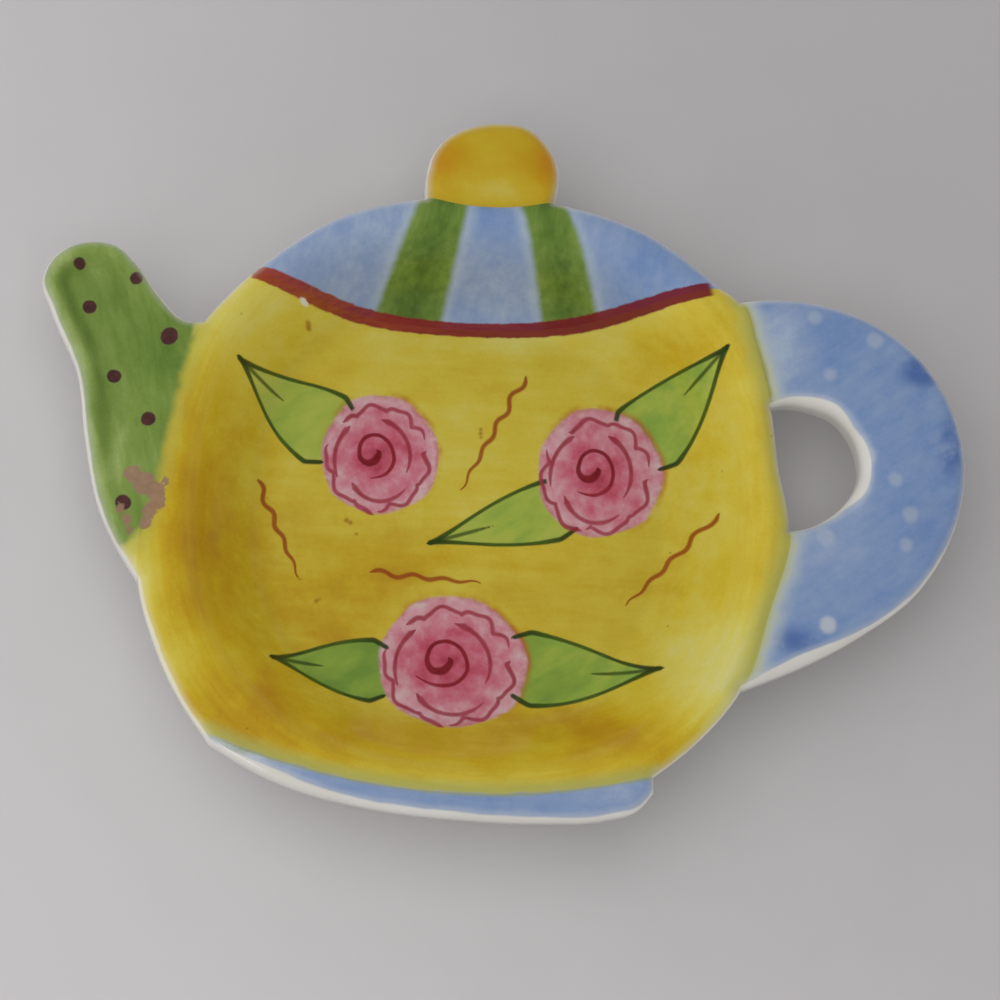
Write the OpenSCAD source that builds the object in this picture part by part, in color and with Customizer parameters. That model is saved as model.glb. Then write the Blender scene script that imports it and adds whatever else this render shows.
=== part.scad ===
// Tea bag rest in the outline of a teapot: a shallow glazed dish whose rim runs out
// into a spout, a looped handle and a lid knob. Length runs along X, spout to handle.

/* [Pot] */
// Half width of the belly, from its middle towards spout and handle
belly_half_w = 47; // [40:1:56]
// Half depth of the belly, from its middle towards foot and lid
belly_half_d = 46; // [40:1:54]
// Squareness of the well in plan, where 2 is an ellipse
well_squareness = 2.4; // [2:0.1:3]
// How far the seam under the lid sags below its two ends
lid_seam_sag = 4.4; // [3:0.2:7]
// How far the seam above the foot band bows below its two ends
foot_seam_sag = 5.2; // [3:0.2:6]

/* [Spout, handle and knob] */
// How far the spout stands out from the belly
spout_reach = 24; // [18:1:30]
// Depth of the pouring trough along the spout
spout_trough = 2.4; // [0.5:0.1:3]
// Width of the slope from the spout's edge down into the trough
spout_slope_w = 7; // [4:0.5:9]
// How far the handle stands out from the belly
handle_reach = 33.4; // [28:0.2:40]
// How far the finger hole reaches into the handle
hole_reach = 11.9; // [8:0.1:15]
// Height of the crown along the middle of the handle
handle_crown = 0.5; // [0:0.1:1]
// How far the knob stands up from the lid
knob_reach = 12.1; // [9:0.1:16]
// Height of the crown in the middle of the knob
knob_crown = 0.8; // [0:0.1:1.5]
// Width of the slope from the knob's edge up to its crown
knob_slope_w = 6; // [3:0.5:8]
// How far the seam under the knob bows below its two ends
knob_seam_sag = 1.4; // [0.4:0.2:3]

/* [Section] */
// Height of the rim above the table
rim_h = 18.2; // [15:0.2:24]
// Depth of the rim's outer side
rim_t = 6; // [5:0.2:8]
// Thickness of the floor
floor_t = 3.6; // [3:0.2:5]
// Width of the level crest inside the rim's edge
crest_w = 3.4; // [2:0.2:5]
// Width in plan of the wall that slopes down to the floor
wall_run = 15; // [10:0.5:18]
// Width in plan over which the underside rises from the floor
under_run = 17; // [12:0.5:18]
// Rounding along the rim's upper edge
lip_r = 2.2; // [1:0.1:2.8]
// Rounding along the rim's lower edge
heel_r = 1.2; // [0.5:0.1:1.8]

/* [Foot ring] */
// Height of the foot ring below the floor
foot_h = 2; // [1:0.2:3]
// Outer radius of the foot ring
foot_r = 28.5; // [22:0.5:29]
// Width of the foot ring
foot_w = 3.6; // [2:0.2:6]
// Rounding on the foot ring's two lower edges
foot_round = 0.6; // [0.2:0.1:0.8]

/* [Hidden] */
$fn = 96;

// Samples of a curve between two of its points, before it is divided evenly
curve_steps = 6;

// Points of the belly's outline, as shares of its half width and half depth. Each
// stretch of it starts at its own first point and ends at the next stretch's first
right_flank_shares = [[0.607, -0.825], [0.720, -0.721]];
handle_low_shares = [[0.861, -0.530], [0.928, -0.285]];
hole_side_shares = [[0.983, -0.010], [0.938, 0.195]];
handle_high_shares = [[0.905, 0.385], [0.845, 0.585]];
right_shoulder_shares = [[0.788, 0.723], [0.728, 0.759]];
left_shoulder_shares = [[-0.738, 0.656], [-0.786, 0.598]];
spout_root_shares = [[-0.867, 0.485], [-0.944, 0.279], [-0.990, 0.029], [-1.000, -0.188]];
left_flank_shares = [[-0.990, -0.361], [-0.935, -0.522], [-0.854, -0.678], [-0.756, -0.808]];
lid_right_shares = [[0.728, 0.759], [0.465, 0.925]];
knob_root_shares = [[0.184, 0.988], [-0.020, 1.000]];
lid_left_shares = [[-0.222, 0.961], [-0.467, 0.878], [-0.738, 0.656]];
foot_edge_shares = [
    [-0.735, -0.836], [-0.520, -0.936], [-0.276, -0.986], [0.001, -1.001], [0.278, -0.992],
    [0.473, -0.966], [0.567, -0.930], [0.610, -0.873]];

// Outlines of what stands out: share along the root's chord, share of the reach
spout_shares = [
    [0.985, 0.10], [1.050, 0.29], [1.150, 0.475], [1.200, 0.62], [1.180, 0.83], [1.100, 0.97],
    [1.014, 1.00], [0.895, 0.89], [0.700, 0.657], [0.470, 0.514], [0.230, 0.33]];
handle_shares = [
    [1.010, 0.20], [0.990, 0.45], [0.910, 0.73], [0.730, 0.953], [0.580, 1.000], [0.450, 0.963],
    [0.260, 0.78], [0.140, 0.51], [0.040, 0.175]];
hole_shares = [
    [1.010, 0.16], [0.970, 0.46], [0.860, 0.78], [0.600, 0.99], [0.370, 0.97], [0.180, 0.76],
    [0.050, 0.44], [0.000, 0.15]];
knob_shares = [
    [1.032, 0.237], [1.022, 0.496], [0.938, 0.746], [0.780, 0.954], [0.583, 1.000],
    [0.392, 0.955], [0.198, 0.826], [0.056, 0.576], [0.006, 0.274]];

// Middles that the rings of the knob and the spout close in on
knob_middle_shares = [[0.5, 0.45]];
spout_middle_shares = [[0.78, 0.46]];

// Spacing of the points along seams and edges, and the rows across each piece
edge_step = belly_half_w / 17;
wall_ring_shares = [0.42, 0.52, 0.60, 0.67, 0.74, 0.80, 0.86, 0.92];
under_ring_shares = [0.55, 0.66, 0.76, 0.86, 0.94];
panel_ring_shares = [0.25, 0.46, 0.64, 0.80, 0.92];
band_row_shares = [0, 0.35, 0.55, 0.70, 0.85, 1];
handle_row_shares = [0, 0.02, 0.07, 0.14, 0.32, 0.50, 0.68, 0.86, 0.93, 0.98, 1];
lip_turns = [90, 60, 30, 0];
heel_turns = [90, 45, 0];

// Curves

function reversed(line) = [for (i = [len(line) - 1:-1:0]) line[i]];
function last(line) = line[len(line) - 1];
function unit(v) = v / norm(v);
function share_of(v) = min(1, max(0, v));
function between(a, b, share) = a + (b - a) * share;

// Direction of travel through point i, weighted towards its nearer neighbour
function through(p, i) =
    let (a = p[i] - p[i - 1], b = p[i + 1] - p[i], la = norm(a), lb = norm(b))
    (a * lb / la + b * la / lb) / (la + lb);

function heading(p, i) =
    i == 0 ? 1.5 * unit(p[1] - p[0]) - 0.5 * through(p, 1)
    : i == len(p) - 1 ? 1.5 * unit(p[i] - p[i - 1]) - 0.5 * through(p, i - 1)
    : through(p, i);

// A smooth line through all points p, curve_steps samples to each stretch
function smooth(p) = [
    for (i = [0:len(p) - 2])
        let (d = norm(p[i + 1] - p[i]), m0 = heading(p, i) * d, m1 = heading(p, i + 1) * d)
        for (k = [0:curve_steps - 1])
            let (t = k / curve_steps, s = 1 - t)
            p[i] * (1 + 2 * t) * s * s + m0 * t * s * s
                + p[i + 1] * t * t * (3 - 2 * t) - m1 * t * t * s,
    last(p)];

// The stretch of a smooth line between two of the points it was drawn through
function stretch(line, from, to) = [for (i = [from * curve_steps:to * curve_steps]) line[i]];

function running(line) = [
    for (i = 0, run = 0; i < len(line);
        i = i + 1, run = run + (i < len(line) ? norm(line[i] - line[i - 1]) : 0)) run];

// Points of a line at the given shares of its length
function at_shares(line, shares) =
    let (run = running(line),
        xs = [for (i = [0:len(line) - 1]) [run[i], line[i].x]],
        ys = [for (i = [0:len(line) - 1]) [run[i], line[i].y]])
    [for (s = shares) [lookup(last(run) * s, xs), lookup(last(run) * s, ys)]];

// The same line with count equal steps
function divided(line, count) = at_shares(line, [for (k = [0:count]) k / count]);

function evenly(line) = divided(line, max(2, round(last(running(line)) / edge_step)));

// A chord bowed sideways by sag at its middle, to the right of its direction
function bowed(a, b, sag) =
    let (side = unit([b.y - a.y, a.x - b.x]), steps = 4 * curve_steps)
    [for (k = [0:steps]) let (t = k / steps) a + (b - a) * t + side * sag * 4 * t * (1 - t)];

// Outline points of a piece that stands out to one side of its root's chord
function standing_out(a, b, reach, side, shares) =
    let (out = side * unit([a.y - b.y, b.x - a.x]))
    [for (s = shares) a + (b - a) * s[0] + out * reach * s[1]];

// Plan of the pot, about the middle of its belly

function on_belly(shares) = [for (s = shares) [s.x * belly_half_w, s.y * belly_half_d]];

// The number of the point that each stretch of a side starts at
function starts(lists) = [
    for (i = 0, start = 0; i < len(lists); start = start + len(lists[i]), i = i + 1) start];

right_lists = [right_flank_shares, handle_low_shares, hole_side_shares, handle_high_shares,
    right_shoulder_shares];
left_lists = [left_shoulder_shares, spout_root_shares, left_flank_shares];
lid_lists = [lid_right_shares, knob_root_shares, lid_left_shares];

right_side = smooth(on_belly([for (list = right_lists) each list]));
left_side = smooth(on_belly([for (list = left_lists) each list]));
lid_arc = smooth(on_belly([for (list = lid_lists) each list]));

// Cuts a side's smooth line into its stretches
function stretches(line, lists) =
    let (from = starts(lists))
    [for (i = [0:len(lists) - 1])
        stretch(line, from[i], i == len(lists) - 1 ? (len(line) - 1) / curve_steps : from[i + 1])];

right_stretches = stretches(right_side, right_lists);
left_stretches = stretches(left_side, left_lists);
lid_stretches = stretches(lid_arc, lid_lists);

right_flank = evenly(right_stretches[0]);
handle_root_low = reversed(at_shares(reversed(right_stretches[1]), handle_row_shares));
hole_side = evenly(right_stretches[2]);
handle_root_high = at_shares(right_stretches[3], handle_row_shares);
right_shoulder = evenly(right_stretches[4]);
left_shoulder = evenly(left_stretches[0]);
spout_root = evenly(left_stretches[1]);
left_flank = evenly(left_stretches[2]);
lid_arc_right = evenly(lid_stretches[0]);
lid_arc_left = evenly(lid_stretches[2]);
knob_root = reversed(evenly(bowed(lid_arc_left[0], last(lid_arc_right), knob_seam_sag)));

lid_seam = evenly(bowed(left_side[0], last(right_side), lid_seam_sag));
foot_seam_line = bowed(last(left_side), right_side[0], foot_seam_sag);
foot_steps = round(last(running(foot_seam_line)) / edge_step);
foot_seam = divided(foot_seam_line, foot_steps);
foot_edge = divided(smooth(on_belly(foot_edge_shares)), foot_steps);

spout_edge = evenly(smooth(concat([spout_root[0]],
    standing_out(last(spout_root), spout_root[0], spout_reach, 1, spout_shares),
    [last(spout_root)])));
knob_edge = evenly(smooth(concat([knob_root[0]],
    standing_out(last(knob_root), knob_root[0], knob_reach, 1, knob_shares),
    [last(knob_root)])));
handle_line = smooth(concat([last(handle_root_high)],
    standing_out(handle_root_low[0], last(handle_root_high), handle_reach, -1, handle_shares),
    [handle_root_low[0]]));
hole_line = smooth(concat([last(hole_side)],
    standing_out(hole_side[0], last(hole_side), hole_reach, -1, hole_shares),
    [hole_side[0]]));
handle_steps = round(last(running(handle_line)) / edge_step);
handle_edge = divided(handle_line, handle_steps);
hole_edge = divided(hole_line, handle_steps);

// Every edge that touches nothing, where the lip is rounded
free_edges = [right_flank, hole_side, right_shoulder, left_shoulder, left_flank,
    lid_arc_right, lid_arc_left, spout_edge, knob_edge, handle_edge, hole_edge,
    concat([last(left_flank)], foot_edge, [right_flank[0]])];

outline_x = [for (line = free_edges) for (p = line) p.x];
outline_y = [for (line = free_edges) for (p = line) p.y];
middle = [(min(outline_x) + max(outline_x)) / 2, (min(outline_y) + max(outline_y)) / 2];

// Section of the dish at any point of the plan

// How far a point lies inside the rim of the well
function inset(p) =
    let (n = well_squareness)
    belly_half_w * (1 - pow(pow(abs(p.x) / belly_half_w, n) + pow(abs(p.y) / belly_half_d, n), 1 / n));

// Falls from 1 to 0 as t goes from 0 to 1, level at both ends
function eased(t) = (1 + cos(180 * share_of(t))) / 2;

function to_line(p, line) = min([
    for (i = [0:len(line) - 2])
        let (a = line[i], d = line[i + 1] - a, t = share_of((p - a) * d / (d * d)))
        norm(p - a - d * t)]);

function to_edge(p) =
    inset(p) > crest_w + 2 * lip_r ? 2 * lip_r : min([for (line = free_edges) to_line(p, line)]);

// How much a rounding of radius r has taken off at distance d from the edge
function rounding(d, r) = d >= r ? 0 : r - sqrt(r * r - (r - d) * (r - d));

floor_h = foot_h + floor_t;

function upper(p) =
    floor_h + (rim_h - floor_h) * eased((inset(p) - crest_w) / wall_run) - rounding(to_edge(p), lip_r);

function lower(p) =
    foot_h + (rim_h - rim_t - foot_h) * eased(inset(p) / under_run) + rounding(to_edge(p), heel_r);

// Solids between the upper and lower surface

// Shares from the middle out to an edge point at distance reach, closing in on a rounding
function ring_shares(shares, reach, r, turns) = concat(
    [for (s = shares) s * (1 - r / reach)],
    [for (turn = turns) 1 - r * (1 - cos(turn)) / reach]);

// The two triangles of a four-sided patch a, b, c, d of the points, cut along its
// shorter diagonal
function halves(points, a, b, c, d) =
    norm(points[a] - points[c]) <= norm(points[b] - points[d])
    ? [[a, b, c], [a, c, d]] : [[b, c, d], [b, d, a]];

// How deep a hollow is at p, grown in over a width from the edge loop
function sunk(p, loop, hollow, slope_w) =
    hollow == 0 ? 0 : hollow * (1 - eased(to_line(p, concat(loop, [loop[0]])) / slope_w));

// A solid around a middle point c that sees its whole edge loop, sunk by a hollow
module round_slab(loop, c, upper_shares, lower_shares, hollow = 0, slope_w = lip_r) {
    count = len(loop);
    ups = [for (p = loop) ring_shares(upper_shares, norm(p - c), lip_r, lip_turns)];
    downs = [for (p = loop) ring_shares(lower_shares, norm(p - c), heel_r, heel_turns)];
    up_rings = len(ups[0]);
    down_rings = len(downs[0]);
    top = [for (k = [0:up_rings - 1]) for (j = [0:count - 1])
        let (p = c + (loop[j] - c) * ups[j][k])
        [p.x, p.y, upper(p) - sunk(p, loop, hollow, slope_w)]];
    bottom = [for (k = [0:down_rings - 1]) for (j = [0:count - 1])
        let (p = c + (loop[j] - c) * downs[j][k]) [p.x, p.y, lower(p)]];
    under = 1 + up_rings * count;
    points = concat([[c.x, c.y, upper(c) - sunk(c, loop, hollow, slope_w)]], top,
        [[c.x, c.y, lower(c)]], bottom);
    function up_at(k, j) = 1 + k * count + j % count;
    function down_at(k, j) = under + 1 + k * count + j % count;
    polyhedron(
        points,
        concat(
            [for (j = [0:count - 1]) [0, up_at(0, j + 1), up_at(0, j)]],
            [for (k = [0:up_rings - 2]) for (j = [0:count - 1])
                each halves(points, up_at(k, j), up_at(k, j + 1), up_at(k + 1, j + 1), up_at(k + 1, j))],
            [for (j = [0:count - 1]) [up_at(up_rings - 1, j), up_at(up_rings - 1, j + 1),
                down_at(down_rings - 1, j + 1), down_at(down_rings - 1, j)]],
            [for (k = [0:down_rings - 2]) for (j = [0:count - 1])
                each halves(points, down_at(k, j), down_at(k + 1, j), down_at(k + 1, j + 1),
                    down_at(k, j + 1))],
            [for (j = [0:count - 1]) [under, down_at(0, j), down_at(0, j + 1)]]),
        convexity = 6);
}

// A solid between a near and a far line of as many steps, closed by a start and an end
// line that have a point at each row's share across, and raised by crown in its middle
module strip_slab(near, far, start, end, rows, crown) {
    steps = len(near) - 1;
    row_end = len(rows) - 1;
    plan = [for (i = [0:steps]) for (r = [0:row_end])
        let (u = i / steps, v = rows[r])
        between(near[i], far[i], v) + between(start[r], end[r], u)
            - between(between(near[0], far[0], v), between(near[steps], far[steps], v), u)];
    top = [for (i = [0:steps]) for (r = [0:row_end])
        let (p = plan[i * (row_end + 1) + r])
        [p.x, p.y, upper(p) + crown * sin(180 * rows[r]) * sin(180 * i / steps)]];
    points = concat(top, [for (p = plan) [p.x, p.y, lower(p)]]);
    under = len(plan);
    function at(i, r) = i * (row_end + 1) + r;
    rim = concat(
        [for (i = [0:steps - 1]) at(i, 0)],
        [for (r = [0:row_end - 1]) at(steps, r)],
        [for (i = [steps:-1:1]) at(i, row_end)],
        [for (r = [row_end:-1:1]) at(0, r)]);
    polyhedron(
        points,
        concat(
            [for (i = [0:steps - 1]) for (r = [0:row_end - 1])
                each halves(points, at(i, r), at(i, r + 1), at(i + 1, r + 1), at(i + 1, r))],
            [for (i = [0:steps - 1]) for (r = [0:row_end - 1])
                each halves(points, under + at(i, r), under + at(i + 1, r),
                    under + at(i + 1, r + 1), under + at(i, r + 1))],
            [for (j = [0:len(rim) - 1])
                let (a = rim[j], b = rim[(j + 1) % len(rim)]) [a, b, under + b, under + a]]),
        convexity = 6);
}

// An edge loop made of lines that run on from each other
function loop_of(lines) = [for (line = lines) for (i = [0:len(line) - 2]) line[i]];

// The pieces of the dish

module dish() {
    color("khaki")
    round_slab(
        loop_of([right_flank, handle_root_low, hole_side, handle_root_high, right_shoulder,
            reversed(lid_seam), left_shoulder, spout_root, left_flank, foot_seam]),
        [0, 0], wall_ring_shares, under_ring_shares);
}

module lid_panel() {
    color("lightsteelblue")
    round_slab(
        loop_of([lid_seam, lid_arc_right, knob_root, lid_arc_left]),
        (lid_seam[floor(len(lid_seam) / 2)] + knob_root[floor(len(knob_root) / 2)]) / 2,
        panel_ring_shares, panel_ring_shares);
}

module knob() {
    color("goldenrod")
    round_slab(
        loop_of([knob_edge, reversed(knob_root)]),
        standing_out(last(knob_root), knob_root[0], knob_reach, 1, knob_middle_shares)[0],
        panel_ring_shares, panel_ring_shares, -knob_crown, knob_slope_w);
}

module spout() {
    color("darkseagreen")
    round_slab(
        loop_of([reversed(spout_root), spout_edge]),
        standing_out(last(spout_root), spout_root[0], spout_reach, 1, spout_middle_shares)[0],
        panel_ring_shares, panel_ring_shares, spout_trough, spout_slope_w);
}

module handle() {
    color("cornflowerblue")
    strip_slab(hole_edge, handle_edge, handle_root_high, reversed(handle_root_low),
        handle_row_shares, handle_crown);
}

module foot_band() {
    color("steelblue")
    strip_slab(foot_edge, foot_seam,
        [for (v = band_row_shares) between(foot_edge[0], foot_seam[0], v)],
        [for (v = band_row_shares) between(last(foot_edge), last(foot_seam), v)],
        band_row_shares, 0);
}

// The bare ring that the dish stands on, with its two lower edges rounded
module foot_ring() {
    color("antiquewhite")
    rotate_extrude()
    translate([foot_r - foot_w, 0])
    difference() {
        square([foot_w, foot_h]);
        for (side = [0, 1])
            translate([side * foot_w, 0])
            mirror([side, 0])
            difference() {
                translate([-foot_round, -foot_round])
                square([2 * foot_round, 2 * foot_round]);
                translate([foot_round, foot_round])
                circle(foot_round);
            }
    }
}

module placed() {
    translate([-middle.x, -middle.y, 0])
    children();
}

placed() dish();
placed() lid_panel();
placed() knob();
placed() spout();
placed() handle();
placed() foot_band();
placed() foot_ring();
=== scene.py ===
"""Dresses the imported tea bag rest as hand-painted, glazed earthenware.

The dish has a teapot's outline. Its plan and its section follow the same formulas as
the frame's solids, with many more points, so each painted piece lies where the node
that it stands for lies. The brushwork is worked out on those points as distances in
millimetres, which the materials turn into soft-edged strokes and washes.
Lengths are millimetres, and become metres where a mesh is written.
"""

import logging
import math
from dataclasses import dataclass, field
from enum import Enum
from typing import Callable, Protocol

import bpy
import numpy as np
from mathutils import Matrix, Vector


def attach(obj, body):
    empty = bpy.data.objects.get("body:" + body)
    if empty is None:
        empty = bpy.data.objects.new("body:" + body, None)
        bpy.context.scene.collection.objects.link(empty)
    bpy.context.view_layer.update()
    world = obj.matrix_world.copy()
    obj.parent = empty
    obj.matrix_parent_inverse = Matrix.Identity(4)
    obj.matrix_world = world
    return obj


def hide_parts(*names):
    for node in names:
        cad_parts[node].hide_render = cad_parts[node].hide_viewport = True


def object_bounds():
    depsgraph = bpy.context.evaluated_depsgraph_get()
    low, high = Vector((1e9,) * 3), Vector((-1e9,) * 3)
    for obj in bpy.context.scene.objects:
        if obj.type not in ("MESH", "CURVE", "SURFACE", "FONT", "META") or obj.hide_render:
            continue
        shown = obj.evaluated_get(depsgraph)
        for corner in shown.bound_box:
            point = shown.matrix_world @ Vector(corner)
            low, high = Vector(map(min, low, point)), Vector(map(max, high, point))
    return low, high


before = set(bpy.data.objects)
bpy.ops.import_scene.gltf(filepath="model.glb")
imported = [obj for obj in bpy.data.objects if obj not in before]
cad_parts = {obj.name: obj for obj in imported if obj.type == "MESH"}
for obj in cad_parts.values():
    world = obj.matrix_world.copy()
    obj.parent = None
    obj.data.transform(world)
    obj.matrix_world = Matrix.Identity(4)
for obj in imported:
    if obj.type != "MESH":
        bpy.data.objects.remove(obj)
CAD_LOW, CAD_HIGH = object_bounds()

# A place is x and y, which are shares of some length where they are called so. A mark is
# x, y and radius, and a blot is x, y, its reach along each and its amount.
Array = np.ndarray
Place = tuple[float, float]
Shares = tuple[Place, ...]
Mark = tuple[float, float, float]
Blot = tuple[float, float, float, float, float]

# Stops are places on a colour ramp with their hex colours. A gate is a value, with where
# it lets nothing and where it lets all through.
Socket = bpy.types.NodeSocket
Stops = tuple[tuple[float, str], ...]
Gate = tuple[Socket, float, float]

log = logging.getLogger("tea_bag_rest")

MM = 0.001
# Distances are cut off at FAR. The underside's points lie UNDERSIDE beyond the lip.
FAR = 6.0
UNDERSIDE = -3.0
POINTS_AT_ONCE = 4096
STROKE_MARGIN = 2.0
SHARP_DEGREES = 40
CURVE_STEPS = 24
BOW_STEPS = 120
LIP_TURNS = 9
HEEL_TURNS = 5
SENSOR_W = 36.0


class Body(Enum):
    """The bodies that a piece can ride on. The rest is one rigid piece."""

    ROOT = "root"


class Slot(Enum):
    """Material slots of the record."""

    YELLOW_GLAZE = "yellow_glaze"
    BLUE_GLAZE = "blue_glaze"
    AMBER_GLAZE = "amber_glaze"
    GREEN_GLAZE = "green_glaze"
    BARE_CLAY = "bare_clay"


class Field(Enum):
    """Named attributes that carry the brushwork from a mesh to its material."""

    LIP = "lip"
    WASH = "wash"
    RIM = "rim"
    SEAM = "seam"
    CREASE = "crease"
    ROSE = "rose"
    LEAF = "leaf"
    LEAF_LEFT = "leaf_left"
    LEAF_RIGHT = "leaf_right"
    MIDRIB = "midrib"
    PETAL = "petal"
    HEART = "heart"
    SQUIGGLE = "squiggle"
    STRIPE = "stripe"
    DOT = "dot"


# Curves


def smooth_line(points: Array, steps: int = CURVE_STEPS) -> Array:
    """Draws a smooth line through points.

    Each stretch is a cubic whose directions at both ends are the mean of the two
    neighbouring steps, weighted towards the nearer neighbour.

    Args:
        points: Places that the line passes through.
        steps: Samples of each stretch.

    Returns:
        The line's points.
    """
    run = np.diff(points, axis=0)
    length = np.linalg.norm(run, axis=1)[:, None]
    heading = np.empty_like(points)
    heading[1:-1] = (run[:-1] * length[1:] / length[:-1] + run[1:] * length[:-1] / length[1:])
    heading[1:-1] /= length[:-1] + length[1:]
    heading[0] = 1.5 * run[0] / length[0] - 0.5 * heading[1]
    heading[-1] = 1.5 * run[-1] / length[-1] - 0.5 * heading[-2]
    t = np.linspace(0, 1, steps, endpoint=False)[None, :, None]
    s = 1 - t
    start, end = points[:-1, None], points[1:, None]
    leave, arrive = heading[:-1, None] * length[:, None], heading[1:, None] * length[:, None]
    curve = start * (1 + 2 * t) * s * s + leave * t * s * s + end * t * t * (3 - 2 * t) - arrive * t * t * s
    return np.vstack([curve.reshape(-1, 2), points[-1:]])


def running(line: Array) -> Array:
    """Gives the length run at each point of a line."""
    return np.concatenate([[0.0], np.cumsum(np.linalg.norm(np.diff(line, axis=0), axis=1))])


def at_shares(line: Array, shares: Array) -> Array:
    """Gives the points of a line at shares of its length.

    Args:
        line: The line's points.
        shares: The shares.

    Returns:
        A point for each share.
    """
    run = running(line)
    places = run[-1] * np.asarray(shares)
    return np.stack([np.interp(places, run, line[:, axis]) for axis in (0, 1)], axis=1)


def evenly(line: Array, step: float) -> Array:
    """Divides a line into equal steps of about the given length."""
    count = max(2, round(running(line)[-1] / step))
    return at_shares(line, np.linspace(0, 1, count + 1))


def bowed(start: Array, end: Array, sag: float) -> Array:
    """Bows a chord as a parabola, by sag at its middle, to the right of its direction.

    Args:
        start: One end.
        end: The other end.
        sag: How far its middle bows.

    Returns:
        The line's points.
    """
    t = np.linspace(0, 1, BOW_STEPS + 1)[:, None]
    chord = end - start
    side = np.array([chord[1], -chord[0]]) / np.linalg.norm(chord)
    return start + chord * t + side * sag * 4 * t * (1 - t)


def standing_out(start: Array, end: Array, reach: float, side: int, shares: Array) -> Array:
    """Places points that stand out from a chord, at shares along it and of a reach.

    Args:
        start: The chord's start.
        end: Its end.
        reach: How far a share of 1 stands out.
        side: 1 for out to its left, -1 for out to its right.
        shares: Rows of a share along it and a share of the reach.

    Returns:
        The places.
    """
    chord = end - start
    out = side * np.array([-chord[1], chord[0]]) / np.linalg.norm(chord)
    return start + chord * shares[:, :1] + out * reach * shares[:, 1:]


def loop_of(lines: list[Array]) -> Array:
    """Joins lines that run on from each other into one closed loop."""
    return np.vstack([line[:-1] for line in lines])


def eased(t: Array) -> Array:
    """Falls from 1 to 0 as t goes from 0 to 1, as half a cosine wave."""
    return (1 + np.cos(np.pi * np.clip(t, 0, 1))) / 2


def line_gaps(points: Array, line: Array) -> tuple[Array, Array, Array]:
    """Measures points against one line.

    Args:
        points: Places in plan.
        line: Points of the line.

    Returns:
        The least distance, the same distance with a minus sign to the right of the
        line, and the share of the line's length at the nearest place.
    """
    run, lengths = running(line), np.diff(line, axis=0)
    squares = (lengths ** 2).sum(1)
    gap, side, share = (np.empty(len(points)) for _ in range(3))
    for first in range(0, len(points), POINTS_AT_ONCE):
        part = slice(first, first + POINTS_AT_ONCE)
        away = points[part, None, :] - line[:-1]
        along = np.clip((away * lengths).sum(2) / squares, 0, 1)
        left = away - along[..., None] * lengths
        square = (left ** 2).sum(2)
        nearest = square.argmin(1)
        row = np.arange(len(nearest))
        gap[part] = np.sqrt(square[row, nearest])
        cross = lengths[nearest, 0] * away[row, nearest, 1] - lengths[nearest, 1] * away[row, nearest, 0]
        side[part] = np.where(cross < 0, -1.0, 1.0)
        spot = along[row, nearest]
        share[part] = (run[nearest] * (1 - spot) + run[nearest + 1] * spot) / run[-1]
    return gap, gap * side, share


def least_gap(points: Array, lines: list[Array]) -> Array:
    """Gives the least distance from each point to any of several lines."""
    return np.min([line_gaps(points, line)[0] for line in lines], axis=0)


# The pot's plan and section


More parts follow.
